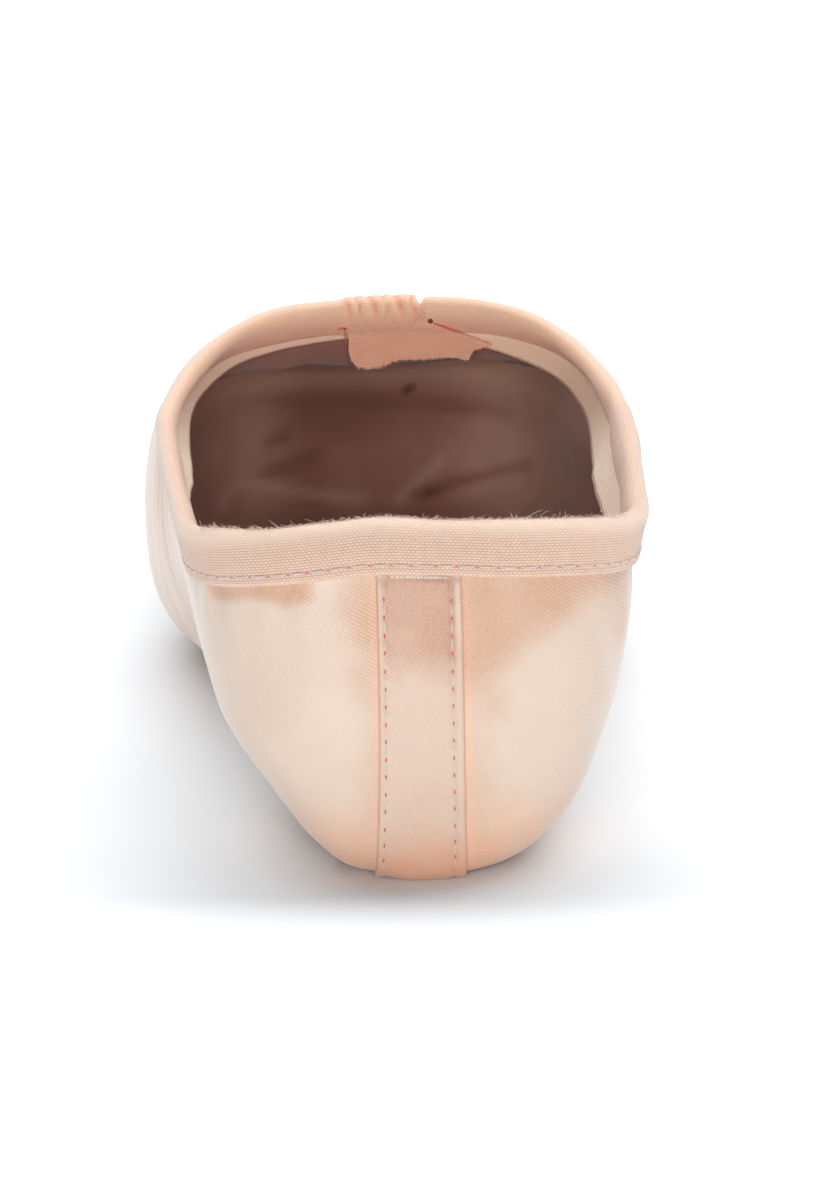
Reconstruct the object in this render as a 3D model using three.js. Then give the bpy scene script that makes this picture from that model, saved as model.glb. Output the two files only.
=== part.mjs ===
// Pointe shoe on a straight last: satin upper, leather outsole, insole, woven collar binding,
// satin heel strip and the raw end of the binding that hangs inside the throat.
// Millimetres, +Z up, +Y from heel to toe, +X to the right as seen from behind, floor at z = 0.

import * as THREE from 'three';

// Driving dimensions
const LENGTH = 232; // heel back to platform
const HALF_WIDTH = 40.2; // half the ball width of the upper
const HEEL_HEIGHT = 53.8; // floor to the edge of the upper at the back
const QUARTER_HEIGHT = 50.4; // the same beside the arch
const INSTEP_HEIGHT = 62.2; // the same at the throat
const THROAT_AT = 134.5; // heel back to the middle of the throat
const SEAT_GAP = 0.4; // clearance between pieces that lie on each other

// Sheet thicknesses
const WALL = { quarter: 1.2, box: 2.6 }; // satin with its lining, and the stiffened toe box
const SOLE_THICKNESS = 2;
const INSOLE_THICKNESS = 1.5;
const TAPE_THICKNESS = 0.6;
const STRIP_THICKNESS = 0.6;

// Sole: flat under heel and ball, raised under the arch, sprung at the toe
const ARCH = { from: 46, to: 140, rise: 4 };
const TOE_SPRING = { from: 182, rise: 3.5 };
const HEEL_DIP = { from: 28, to: 12, depth: 1.9 }; // the upper sinks behind the thinned end of the outsole
const SOLE_ENDS = { heel: 15, toe: 206, heelRound: 15, toeRound: 30, roundness: 2.3 };
const SOLE_MARGIN = { heel: 0.5, ball: 3.5 }; // outsole edge beyond the flat base of the upper
const SOLE_EDGE_SLACK = 0.4; // most that the outsole thickens where the upper curves away
const LASTING_MARGIN = { side: 4, heel: 12 }; // flange of the upper that the outsole covers

// Heel and toe ends of the last are fans of ribs about two points of the centre line
const HEEL_FAN = { at: 30, squareness: 2.7, baseReach: 24.5, widest: 28, round: 2.5, lean: 0.09 };
const TOE_FAN = { at: 190, squareness: 4.2, baseReach: 13 };
const TOE_RIB = { widest: 20, round: 4, shoulder: 11, ramp: 0.52 };

// Collar: sides run straight to the throat arc, whose edge stands up as a lip
const COLLAR = {
  lean: -0.035, arcFrom: 100.5, arcHalf: 36.9, openAngle: 50, heelSpread: 1.9, heelSquareness: 2.8,
};
const LIP = { rise: 8, length: 10 };

// Binding, strip and tab
const BINDING = { outside: 6.4, inside: 3.6, crown: 0.5 };
const STRIP = { width: 12.7, clearOfBinding: 0.6, clearOfBase: 3 };
const TAB = { thickness: 0.6, lean: 0.35 };

// Last sections. at: mm from the heel back. half, base: widest and flat-bottom half widths as shares
// of HALF_WIDTH. widest: height of the widest line. round, shoulder: how square the section is below
// and above that line. ramp: share of the rise above it that is a straight slope to the collar.
const SECTIONS = [
  { at: 30, half: 0.839, base: 0.334, widest: 43, round: 1.76, shoulder: 2, ramp: 0 },
  { at: 60, half: 0.872, base: 0.293, widest: 42.6, round: 1.85, shoulder: 2, ramp: 0 },
  { at: 90, half: 0.883, base: 0.293, widest: 40, round: 1.95, shoulder: 2, ramp: 0 },
  { at: 120, half: 0.94, base: 0.439, widest: 33, round: 2.2, shoulder: 2, ramp: 0 },
  { at: 150, half: 1, base: 0.627, widest: 26, round: 2.6, shoulder: 2.3, ramp: 0.08 },
  { at: 170, half: 0.972, base: 0.606, widest: 22.5, round: 2.7, shoulder: 3, ramp: 0.2 },
  { at: 190, half: 0.899, base: 0.501, widest: 22, round: 3, shoulder: 4, ramp: 0.34 },
];

// Raw edge of the tab. x: across the throat. drop: length below the binding.
const TAB_EDGE = [
  { x: -8.5, drop: 5 },
  { x: -6, drop: 7.2 },
  { x: -3, drop: 7.6 },
  { x: -1, drop: 6.4 },
  { x: 3, drop: 6 },
  { x: 7.5, drop: 6.4 },
  { x: 9.5, drop: 5.4 },
  { x: 12, drop: 4.6 },
  { x: 15, drop: 4.2 },
];
const TAB_SPIKE = { from: 6, slope: 0.25 }; // the free corner drops away from the binding

// Mesh density
const RIBS = { heel: 9, side: 20, toe: 10 };
const TURN_WEIGHT = 14; // extra rows per radian of bend along a rib
const PATH_STEPS = 60;
const FLANGE_STEPS = 4;
const BODY_ROWS = 16; // rows of the upper below the binding
const LEG_ROWS = { outside: 3, inside: 2 }; // rows of the upper under each leg of the binding

const lerp = THREE.MathUtils.lerp;
const clamp = THREE.MathUtils.clamp;
const ease = (x) => THREE.MathUtils.smoothstep(x, 0, 1);
const point = (x, y, z) => new THREE.Vector3(x, y, z);

// Smooth cubic through one column of a table, straight on past its ends
function column(table, name, at) {
  const last = table.length - 2;
  const i = clamp(table.findIndex((row) => row.at > at) - 1, 0, last);
  const k = at >= table[last + 1].at ? last : i;
  const slope = (n) => {
    const before = table[Math.max(n - 1, 0)];
    const after = table[Math.min(n + 1, last + 1)];
    return (after[name] - before[name]) / (after.at - before.at);
  };
  const step = table[k + 1].at - table[k].at;
  const s = clamp((at - table[k].at) / step, 0, 1);
  const rise = table[k + 1][name] - table[k][name];
  const bend = slope(k) * step - rise;
  const counter = rise - slope(k + 1) * step;
  return table[k][name] + rise * s + s * (1 - s) * (bend * (1 - s) + counter * s);
}

const section = (name, y) => column(SECTIONS, name, y);
const halfWidth = (y) => HALF_WIDTH * section('half', y);
const baseHalf = (y) => HALF_WIDTH * section('base', y);
const widthSlope = (y, step = 0.5) => (halfWidth(y + step) - halfWidth(y - step)) / (2 * step);

// Height of the outsole's tread face above the floor
function treadHeight(y) {
  const inArch = clamp((y - ARCH.from) / (ARCH.to - ARCH.from), 0, 1);
  const inToe = Math.max(0, (y - TOE_SPRING.from) / (LENGTH - TOE_SPRING.from));
  return ARCH.rise * Math.sin(Math.PI * inArch) ** 2 + TOE_SPRING.rise * inToe ** 2;
}

// Height of the flat bottom of the upper
function undersideHeight(y) {
  const dip = HEEL_DIP.depth * ease((HEEL_DIP.from - y) / (HEEL_DIP.from - HEEL_DIP.to));
  return treadHeight(y) + SOLE_THICKNESS + SEAT_GAP - dip;
}

// A rib is a vertical curve from the flat base, out to the widest line and up to the collar.
// place runs from 0 at the heel back to 1 at the platform, side is 1 on the right and -1 on the left.
function rib(place, side) {
  if (place < 1 / 3) return heelRib(place * 3 * Math.PI / 2, side);
  if (place <= 2 / 3) return sideRib(lerp(HEEL_FAN.at, TOE_FAN.at, place * 3 - 1), side);
  return toeRib((place * 3 - 2) * Math.PI / 2, side);
}

function heelPlan(angle, squareness) {
  const y = HEEL_FAN.at * (1 - Math.cos(angle) ** (2 / squareness));
  const half = halfWidth(HEEL_FAN.at) + widthSlope(HEEL_FAN.at) * (y - HEEL_FAN.at);
  return { x: half * Math.sin(angle) ** (2 / squareness), y };
}

function heelRib(angle, side) {
  const { x, y } = heelPlan(angle, HEEL_FAN.squareness);
  const edge = heelPlan(angle, COLLAR.heelSquareness);
  const toSide = Math.sin(angle) ** 2;
  const lean = lerp(HEEL_FAN.lean, COLLAR.lean, toSide);
  const reach = Math.hypot(x, y - HEEL_FAN.at);
  const outShare = x / reach;
  const backShare = (HEEL_FAN.at - y) / reach;
  const rise = HEEL_HEIGHT - QUARTER_HEIGHT;
  return {
    side,
    centre: { x: 0, y: HEEL_FAN.at },
    widest: { x, y, z: lerp(HEEL_FAN.widest, section('widest', HEEL_FAN.at), toSide) },
    base: 1 / Math.hypot(outShare / baseHalf(HEEL_FAN.at), backShare / HEEL_FAN.baseReach),
    collar: {
      x: edge.x * (1 - lean),
      y: lerp(edge.y, HEEL_FAN.at, lean),
      z: HEEL_HEIGHT - rise * Math.sin(angle) ** COLLAR.heelSpread,
    },
    margin: lerp(LASTING_MARGIN.heel, LASTING_MARGIN.side, toSide),
    round: lerp(HEEL_FAN.round, section('round', HEEL_FAN.at), toSide),
    shoulder: section('shoulder', HEEL_FAN.at),
    ramp: 0,
    open: COLLAR.openAngle,
    lip: 0,
  };
}

function sideRib(y, side) {
  return {
    side,
    centre: { x: 0, y },
    widest: { x: halfWidth(y), y, z: section('widest', y) },
    base: baseHalf(y),
    margin: LASTING_MARGIN.side,
    ...collarEnd({ x: halfWidth(y), y }),
    round: section('round', y),
    shoulder: section('shoulder', y),
    ramp: section('ramp', y),
  };
}

function toeRib(angle, side) {
  const ahead = Math.sin(angle) ** (2 / TOE_FAN.squareness);
  const out = Math.cos(angle) ** (2 / TOE_FAN.squareness);
  const y = lerp(TOE_FAN.at, LENGTH, ahead);
  const x = out * (halfWidth(TOE_FAN.at) + widthSlope(TOE_FAN.at) * (y - TOE_FAN.at));
  const reach = Math.hypot(x, y - TOE_FAN.at);
  const toFront = Math.sin(angle) ** 2;
  const blend = (name) => lerp(section(name, TOE_FAN.at), TOE_RIB[name], toFront);
  return {
    side,
    centre: { x: 0, y: TOE_FAN.at },
    widest: { x, y, z: blend('widest') },
    base: reach / Math.hypot(x / baseHalf(TOE_FAN.at), (y - TOE_FAN.at) / TOE_FAN.baseReach),
    margin: LASTING_MARGIN.side,
    ...collarEnd({ x, y }),
    round: blend('round'),
    shoulder: blend('shoulder'),
    ramp: blend('ramp'),
  };
}

// Collar end of a rib: straight across beside the arch, and towards the centre of the throat arc in front
function collarEnd(widest) {
  const run = clamp((widest.y - HEEL_FAN.at) / (COLLAR.arcFrom - HEEL_FAN.at), 0, 1);
  const heelHalf = halfWidth(HEEL_FAN.at) * (1 - COLLAR.lean);
  const half = lerp(heelHalf, COLLAR.arcHalf, Math.sin(run * Math.PI / 2));
  const ahead = Math.max(0, widest.y - COLLAR.arcFrom);
  const depth = THROAT_AT - COLLAR.arcFrom;
  const turn = Math.atan2(ahead * half, Math.max(widest.x, 1e-6) * depth);
  const inVamp = ease(Math.sin(turn));
  return {
    collar: {
      x: half * Math.cos(turn),
      y: Math.min(widest.y, COLLAR.arcFrom) + depth * Math.sin(turn),
      z: lerp(QUARTER_HEIGHT, INSTEP_HEIGHT, inVamp),
    },
    open: lerp(COLLAR.openAngle, 90, ease(Math.sin(turn) * 1.4)),
    lip: LIP.rise * inVamp,
  };
}

// Points of a rib from the flange's inner edge to the collar
function ribPath(r) {
  const path = [];
  const reach = Math.hypot(r.widest.x - r.centre.x, r.widest.y - r.centre.y);
  const toSide = (r.widest.x - r.centre.x) / reach;
  const toEnd = (r.widest.y - r.centre.y) / reach;
  const add = (x, y, z) => path.push(point(r.side * x, y, z));
  const foot = undersideHeight(r.centre.y + r.base * toEnd);
  for (let i = 0; i < FLANGE_STEPS; i++) {
    const out = r.base - r.margin * (1 - i / FLANGE_STEPS);
    const y = r.centre.y + out * toEnd;
    add(r.centre.x + out * toSide, y, undersideHeight(y));
  }
  for (let i = 0; i <= PATH_STEPS; i++) {
    const a = (i / PATH_STEPS) * Math.PI / 2;
    const out = lerp(r.base, reach, Math.sin(a) ** (2 / r.round));
    const z = lerp(r.widest.z, foot, Math.cos(a) ** (2 / r.round));
    add(r.centre.x + out * toSide, r.centre.y + out * toEnd, z);
  }
  const open = THREE.MathUtils.degToRad(r.open);
  const run = Math.hypot(r.collar.x - r.widest.x, r.collar.y - r.widest.y);
  const flat = 2 / r.shoulder;
  const inset = 1 - cosine(open) ** flat;
  const shares = Array.from({ length: PATH_STEPS }, (_, i) => (i + 1) / PATH_STEPS);
  const byAngle = shares.map((share) => share * open);
  const byReach = shares.slice(0, -1).map((share) => Math.acos((1 - share * inset) ** (1 / flat)));
  for (const a of [...byAngle, ...byReach].sort((p, q) => p - q)) {
    const across = (1 - cosine(a) ** flat) / inset;
    const up = (Math.sin(a) / Math.sin(open)) ** flat;
    const nearCollar = clamp(1 - (1 - across) * run / LIP.length, 0, 1);
    const top = r.collar.z - r.lip;
    const rise = (top - r.widest.z) * lerp(up, across, r.ramp) + r.lip * nearCollar ** 2;
    add(lerp(r.widest.x, r.collar.x, across), lerp(r.widest.y, r.collar.y, across), r.widest.z + rise);
  }
  return path;
}

const cosine = (a) => Math.max(0, Math.cos(a));

// Even points along a path between two lengths, closer together where it bends
function resample(path, count, from = 0, to = Infinity, turnWeight = TURN_WEIGHT) {
  const lengths = [0];
  const weights = [0];
  for (let i = 1; i < path.length; i++) {
    const step = path[i].clone().sub(path[i - 1]);
    const next = i + 1 < path.length ? path[i + 1].clone().sub(path[i]) : step;
    const turn = step.lengthSq() * next.lengthSq() > 0 ? step.angleTo(next) : 0;
    lengths.push(lengths[i - 1] + step.length());
    weights.push(weights[i - 1] + step.length() + turnWeight * turn);
  }
  const total = lengths.at(-1);
  const start = lookUp(lengths, weights, Math.max(0, from));
  const end = lookUp(lengths, weights, Math.min(total, to));
  return Array.from({ length: count }, (_, k) => {
    const length = lookUp(weights, lengths, lerp(start, end, k / (count - 1)));
    const i = clamp(lengths.findIndex((l) => l >= length), 1, path.length - 1);
    const share = (length - lengths[i - 1]) / (lengths[i] - lengths[i - 1] || 1);
    return path[i - 1].clone().lerp(path[i], share);
  });
}

function lookUp(keys, values, key) {
  const i = clamp(keys.findIndex((k) => k >= key), 1, keys.length - 1);
  const share = clamp((key - keys[i - 1]) / (keys[i] - keys[i - 1] || 1), 0, 1);
  return lerp(values[i - 1], values[i], share);
}

const pathLength = (path) => path.slice(1).reduce((sum, p, i) => sum + p.distanceTo(path[i]), 0);

// All ribs once round the shoe, from the heel back along the right side to the toe and back
function ribsRound() {
  const share = (third, count) => Array.from({ length: count }, (_, i) => (third + i / count) / 3);
  const half = [...share(0, RIBS.heel), ...share(1, RIBS.side), ...share(2, RIBS.toe), 1];
  const right = half.map((place) => ({ place, side: 1 }));
  const left = half.slice(1, -1).reverse().map((place) => ({ place, side: -1 }));
  return [...right, ...left];
}

// Outward normals of a grid of points, rows from bottom to top, neighbours along the grid
function gridNormals(grid, closed) {
  const n = grid.length;
  const at = (i) => (closed ? grid[(i + n) % n] : grid[clamp(i, 0, n - 1)]);
  return grid.map((row, i) => row.map((_, j) => {
    const along = at(i + 1)[j].clone().sub(at(i - 1)[j]);
    const up = row[Math.min(j + 1, row.length - 1)].clone().sub(row[Math.max(j - 1, 0)]);
    return along.cross(up).normalize();
  }));
}

const moved = (p, normal, distance) => p.clone().addScaledVector(normal, distance);

// Closed solid between two faces given as rows of points, as a ring or as a band with two ends.
// crossUnder splits the quads of the under face along their other diagonal.
function sheetSolid(rows, closed, crossUnder = false) {
  const count = rows[0].over.length;
  const points = rows.flatMap((row) => [...row.over, ...row.under]);
  const over = (i, j) => (i % rows.length) * 2 * count + j;
  const under = (i, j) => over(i, j) + count;
  const index = [];
  const quad = (a, b, c, d) => index.push(a, b, c, a, c, d);
  for (let i = 0; i < rows.length - (closed ? 0 : 1); i++) {
    for (let j = 0; j + 1 < count; j++) {
      quad(over(i, j), over(i + 1, j), over(i + 1, j + 1), over(i, j + 1));
      const below = [under(i, j), under(i, j + 1), under(i + 1, j + 1), under(i + 1, j)];
      if (crossUnder) below.push(below.shift());
      quad(...below);
    }
    quad(over(i, 0), under(i, 0), under(i + 1, 0), over(i + 1, 0));
    quad(over(i, count - 1), over(i + 1, count - 1), under(i + 1, count - 1), under(i, count - 1));
  }
  for (let j = 0; j + 1 < count && !closed; j++) {
    const end = rows.length - 1;
    quad(over(0, j), over(0, j + 1), under(0, j + 1), under(0, j));
    quad(over(end, j), under(end, j), under(end, j + 1), over(end, j + 1));
  }
  const geometry = new THREE.BufferGeometry().setFromPoints(points);
  geometry.setIndex(index);
  geometry.computeVertexNormals();
  return geometry;
}

// Wall thickness grows from the quarters to the stiffened box
function wallAt(y) {
  return lerp(WALL.quarter, WALL.box, ease((y - COLLAR.arcFrom - 20) / (TOE_FAN.at - COLLAR.arcFrom - 20)));
}

// Outer face of the upper: points and normals along every rib, the last rows under the binding
function upperFace() {
  const points = ribsRound().map(({ place, side }) => {
    const path = ribPath(rib(place, side));
    const total = pathLength(path);
    const hem = total - BINDING.outside;
    const body = resample(path, BODY_ROWS + 1, 0, hem);
    const middle = resample(path, 2, total - BINDING.inside, total, 0);
    return [...body, ...middle];
  });
  return { points, normals: gridNormals(points, true) };
}

const FACE = upperFace();

function upperGeometry() {
  const rows = FACE.points.map((over, i) => ({
    over,
    under: over.map((p, j) => moved(p, FACE.normals[i][j], -wallAt(p.y))),
  }));
  return sheetSolid(rows, true, true);
}

// Folded tape over the edge of the upper: outside leg, rounded crown, inside leg
function bindingGeometry() {
  const crownSteps = 6;
  const rows = FACE.points.map((path, i) => {
    const normals = FACE.normals[i];
    const leg = (rows) => path.map((p, j) => ({ p, normal: normals[j] })).slice(-rows, -1);
    const edge = path.at(-1);
    const normal = normals.at(-1);
    const up = edge.clone().sub(path.at(-2)).normalize();
    const face = (lift, crown) => {
      const outer = leg(LEG_ROWS.outside).map((at) => moved(at.p, at.normal, lift));
      const inner = leg(LEG_ROWS.inside).map((at) => moved(at.p, at.normal, -wallAt(at.p.y) - lift));
      const middle = moved(edge, normal, -wallAt(edge.y) / 2);
      const radius = wallAt(edge.y) / 2 + lift;
      const arc = Array.from({ length: crownSteps + 1 }, (_, k) => {
        const a = (k / crownSteps) * Math.PI;
        return moved(moved(middle, normal, radius * Math.cos(a)), up, (radius + crown) * Math.sin(a));
      });
      return [...outer, ...arc, ...inner.reverse()];
    };
    return { over: face(SEAT_GAP + TAPE_THICKNESS, BINDING.crown), under: face(SEAT_GAP, 0) };
  });
  return sheetSolid(rows, true);
}

// Band of constant width up the middle of the heel, over the back seam
function stripGeometry() {
  const fanRibs = 24;
  const rowCount = 14;
  const acrossSteps = 4;
  const spread = 0.55; // radians each way that the fan of ribs needs to reach the strip's edges
  const grid = [];
  for (let i = -fanRibs; i <= fanRibs; i++) {
    const path = ribPath(heelRib(Math.abs(i / fanRibs) * spread, Math.sign(i) || 1));
    const foot = LASTING_MARGIN.heel + STRIP.clearOfBase;
    const head = pathLength(path) - BINDING.outside - STRIP.clearOfBinding;
    grid.push(resample(path, rowCount, foot, head, 0));
  }
  const normals = gridNormals(grid, false);
  const rows = [];
  for (let j = 0; j < rowCount; j++) {
    const row = { over: [], under: [] };
    for (let k = 0; k <= acrossSteps; k++) {
      const x = STRIP.width * (k / acrossSteps - 0.5);
      const i = clamp(grid.findIndex((line) => line[j].x >= x), 1, grid.length - 1);
      const share = (x - grid[i - 1][j].x) / (grid[i][j].x - grid[i - 1][j].x);
      const on = grid[i - 1][j].clone().lerp(grid[i][j], share);
      const normal = normals[i - 1][j].clone().lerp(normals[i][j], share).normalize();
      row.over.push(moved(on, normal, SEAT_GAP + STRIP_THICKNESS));
      row.under.push(moved(on, normal, SEAT_GAP));
    }
    rows.unshift(row);
  }
  return sheetSolid(rows, false);
}

// Height of the upper's outer underside at a plan point
function undersideAt(x, y) {
  const centre = clamp(y, HEEL_FAN.at, TOE_FAN.at);
  const reach = Math.hypot(x, y - centre);
  const r = ribTowards(Math.abs(x), y, centre);
  const widestReach = Math.hypot(r.widest.x, r.widest.y - centre);
  const foot = undersideHeight(centre + (y - centre) * Math.min(1, r.base / (reach || 1)));
  const out = clamp((reach - r.base) / (widestReach - r.base), 0, 1);
  return lerp(r.widest.z, foot, (1 - out ** r.round) ** (1 / r.round));
}

// The rib whose plan line passes through a point
function ribTowards(x, y, centre) {
  if (y === centre) return sideRib(y, 1);
  const make = y < centre ? heelRib : toeRib;
  const wanted = Math.atan2(x, Math.abs(y - centre));
  let low = 0;
  let high = Math.PI / 2;
  for (let i = 0; i < 30; i++) {
    const middle = (low + high) / 2;
    const { widest } = make(middle, 1);
    const turn = Math.atan2(widest.x, Math.abs(widest.y - centre));
    const further = y < centre ? turn < wanted : turn > wanted;
    if (further) low = middle;
    else high = middle;
  }
  return make((low + high) / 2, 1);
}

const blunt = (inside, length, power) => (
  inside >= length ? 1 : Math.max(0, 1 - (1 - inside / length) ** power) ** (1 / power)
);

// Flat piece given by its half width and its two face heights, from heel end to toe end
function plateGeometry(ends, stations, acrossSteps, half, top, bottom) {
  const rows = Array.from({ length: stations }, (_, i) => {
    const share = (1 - Math.cos((i / (stations - 1)) * Math.PI)) / 2;
    const y = lerp(ends.heel, ends.toe, lerp(i / (stations - 1), share, 0.6));
    const row = { over: [], under: [] };
    for (let k = 0; k <= acrossSteps; k++) {
      const x = half(y) * (2 * k / acrossSteps - 1);
      row.over.push(point(x, y, top(x, y)));
      row.under.push(point(x, y, bottom(x, y)));
    }
    return row;
  });
  return sheetSolid(rows.reverse(), false);
}

const END_BLUNTNESS = 0.22; // share of its width that a sole keeps at its very tips

function outsoleGeometry() {
  const half = (y) => {
    const heelEnd = blunt(y - SOLE_ENDS.heel, SOLE_ENDS.heelRound, SOLE_ENDS.roundness);
    const toeEnd = blunt(SOLE_ENDS.toe - y, SOLE_ENDS.toeRound, SOLE_ENDS.roundness);
    const margin = lerp(SOLE_MARGIN.heel, SOLE_MARGIN.ball, ease((y - HEEL_FAN.at) / HEEL_FAN.at / 2));
    return (baseHalf(y) + margin) * Math.max(END_BLUNTNESS, Math.min(heelEnd, toeEnd));
  };
  const top = (x, y) => Math.min(
    undersideAt(x, y) - SEAT_GAP,
    treadHeight(y) + SOLE_THICKNESS + SOLE_EDGE_SLACK,
  );
  return plateGeometry(SOLE_ENDS, 30, 6, half, top, (x, y) => treadHeight(y));
}

const INSOLE_ENDS = { heel: 9, toe: 216, heelRound: 22, toeRound: 30, roundness: 2.2 };
const INSOLE_REACH = 6; // insole edge beyond the flat base of the upper

function insoleGeometry() {
  const half = (y) => {
    const heelEnd = blunt(y - INSOLE_ENDS.heel, INSOLE_ENDS.heelRound, INSOLE_ENDS.roundness);
    const toeEnd = blunt(INSOLE_ENDS.toe - y, INSOLE_ENDS.toeRound, INSOLE_ENDS.roundness);
    return (baseHalf(y) + INSOLE_REACH) * Math.max(END_BLUNTNESS, Math.min(heelEnd, toeEnd));
  };
  const slopeStep = 0.5;
  const bottom = (x, y) => {
    const acrossSlope = (undersideAt(Math.abs(x) + slopeStep, y) - undersideAt(Math.abs(x), y)) / slopeStep;
    const alongSlope = (undersideAt(x, y + slopeStep) - undersideAt(x, y - slopeStep)) / (2 * slopeStep);
    return undersideAt(x, y) + (wallAt(y) + SEAT_GAP) * Math.hypot(1, acrossSlope, alongSlope);
  };
  return plateGeometry(INSOLE_ENDS, 30, 8, half, (x, y) => bottom(x, y) + INSOLE_THICKNESS, bottom);
}

// The rib whose collar end lies at a given distance across the throat
function throatRib(x) {
  let low = 1 / 3;
  let high = 1;
  for (let i = 0; i < 30; i++) {
    const middle = (low + high) / 2;
    if (rib(middle, 1).collar.x > Math.abs(x)) low = middle;
    else high = middle;
  }
  return rib((low + high) / 2, x < 0 ? -1 : 1);
}

// Raw end of the binding, hanging from the inside leg at the middle of the throat
function tabGeometry() {
  const downSteps = 3;
  const rows = TAB_EDGE.map(({ x, drop }) => {
    const path = ribPath(throatRib(x));
    const total = pathLength(path);
    const [hem, edge] = resample(path, 2, total - BINDING.inside, total, 0);
    const up = edge.sub(hem).normalize();
    const legEnd = moved(hem, point(0, up.z, -up.y), -wallAt(hem.y) - SEAT_GAP - TAPE_THICKNESS / 2);
    const spike = Math.max(0, x - TAB_SPIKE.from) * TAB_SPIKE.slope;
    const top = legEnd.z - 2 * SEAT_GAP - spike;
    const row = { over: [], under: [] };
    for (let k = 0; k <= downSteps; k++) {
      const down = (drop - spike) * k / downSteps;
      const y = legEnd.y + down * TAB.lean;
      row.over.push(point(x, y + TAB.thickness / 2, top - down));
      row.under.push(point(x, y - TAB.thickness / 2, top - down));
    }
    return row;
  });
  return sheetSolid(rows, false);
}

// Materials
const satin = new THREE.MeshStandardMaterial({ color: '#e8cdb9', roughness: 0.35, metalness: 0 });
const cotton = new THREE.MeshStandardMaterial({ color: '#e3c4ae', roughness: 0.9, metalness: 0 });
const leather = new THREE.MeshStandardMaterial({ color: '#cbb096', roughness: 0.75, metalness: 0 });
const lining = new THREE.MeshStandardMaterial({ color: '#c99f8c', roughness: 0.95, metalness: 0 });

const PIECES = [
  { name: 'upper', make: upperGeometry, material: satin },
  { name: 'outsole', make: outsoleGeometry, material: leather },
  { name: 'insole', make: insoleGeometry, material: lining },
  { name: 'collar_binding', make: bindingGeometry, material: cotton },
  { name: 'heel_strip', make: stripGeometry, material: satin },
  { name: 'throat_tab', make: tabGeometry, material: cotton },
];

const shoe = new THREE.Group();
for (const { name, make, material } of PIECES) {
  const mesh = new THREE.Mesh(make(), material);
  mesh.name = name;
  shoe.add(mesh);
}
// The origin is on the floor under the middle of the shoe's length
shoe.children.forEach((mesh) => { mesh.position.y = -(LENGTH - SEAT_GAP - STRIP_THICKNESS) / 2; });

export default shoe;
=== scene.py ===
# Pointe shoe: satin upper, lining with painted shade, woven collar binding, heel strip, soles and
# stitching.
# Built around the imported model in its own frame: +Y from heel to toe, +X to the right as seen from
# behind, +Z up, floor at z = 0. Shapes are worked out in millimetres and stored in metres.

import math

import bpy
import numpy as np
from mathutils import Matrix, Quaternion, Vector


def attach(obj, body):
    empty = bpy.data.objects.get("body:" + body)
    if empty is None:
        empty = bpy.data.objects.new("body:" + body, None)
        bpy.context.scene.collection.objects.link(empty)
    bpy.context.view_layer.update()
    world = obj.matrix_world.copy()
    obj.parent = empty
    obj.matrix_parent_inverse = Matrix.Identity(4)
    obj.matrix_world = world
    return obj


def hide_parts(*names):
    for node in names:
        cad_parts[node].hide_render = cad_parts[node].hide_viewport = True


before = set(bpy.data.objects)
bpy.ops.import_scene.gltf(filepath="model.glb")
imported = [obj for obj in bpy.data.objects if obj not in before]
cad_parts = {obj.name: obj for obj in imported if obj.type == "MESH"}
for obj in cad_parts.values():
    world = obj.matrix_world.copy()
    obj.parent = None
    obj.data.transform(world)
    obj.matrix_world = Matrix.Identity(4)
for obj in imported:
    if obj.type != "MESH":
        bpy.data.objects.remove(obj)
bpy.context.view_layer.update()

MM = 0.001

# Sizes of the last, as in the part's source
LENGTH = 232
HALF_WIDTH = 40.2
HEEL_HEIGHT = 53.8
QUARTER_HEIGHT = 50.4
INSTEP_HEIGHT = 62.2
THROAT_AT = 134.5
SEAT_GAP = 0.4
WALL = {"quarter": 1.2, "box": 2.6}
SOLE_THICKNESS = 2
INSOLE_THICKNESS = 1.5
STRIP_THICKNESS = 0.6
ARCH = {"from": 46, "to": 140, "rise": 4}
TOE_SPRING = {"from": 182, "rise": 3.5}
HEEL_DIP = {"from": 28, "to": 12, "depth": 1.9}
SOLE_ENDS = {"heel": 15, "toe": 206, "heel_round": 15, "toe_round": 30, "roundness": 2.3}
SOLE_MARGIN = {"heel": 0.5, "ball": 3.5}
LASTING_MARGIN = {"side": 4, "heel": 12}
HEEL_FAN = {"at": 30, "squareness": 2.7, "base_reach": 24.5, "widest": 28, "round": 2.5, "lean": 0.09}
TOE_FAN = {"at": 190, "squareness": 4.2, "base_reach": 13}
TOE_RIB = {"widest": 20, "round": 4, "shoulder": 11, "ramp": 0.52}
COLLAR = {"lean": -0.035, "arc_from": 100.5, "arc_half": 36.9, "open_angle": 50, "heel_spread": 1.9,
          "heel_squareness": 2.8}
LIP = {"rise": 8, "length": 10}
BINDING = {"outside": 6.4, "inside": 3.6, "crown": 0.5, "tape": 0.6}
STRIP_WIDTH = 12.7
SECTION_NAMES = ("at", "half", "base", "widest", "round", "shoulder", "ramp")
SECTIONS = np.array([
    (30, 0.839, 0.334, 43, 1.76, 2, 0),
    (60, 0.872, 0.293, 42.6, 1.85, 2, 0),
    (90, 0.883, 0.293, 40, 1.95, 2, 0),
    (120, 0.94, 0.439, 33, 2.2, 2, 0),
    (150, 1, 0.627, 26, 2.6, 2.3, 0.08),
    (170, 0.972, 0.606, 22.5, 2.7, 3, 0.2),
    (190, 0.899, 0.501, 22, 3, 4, 0.34),
])
INSOLE_ENDS = {"heel": 9, "toe": 216, "heel_round": 22, "toe_round": 30, "roundness": 2.2}
INSOLE_REACH = 6
MIDDLE = (LENGTH - SEAT_GAP - STRIP_THICKNESS) / 2  # heel back to the frame's origin

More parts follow.
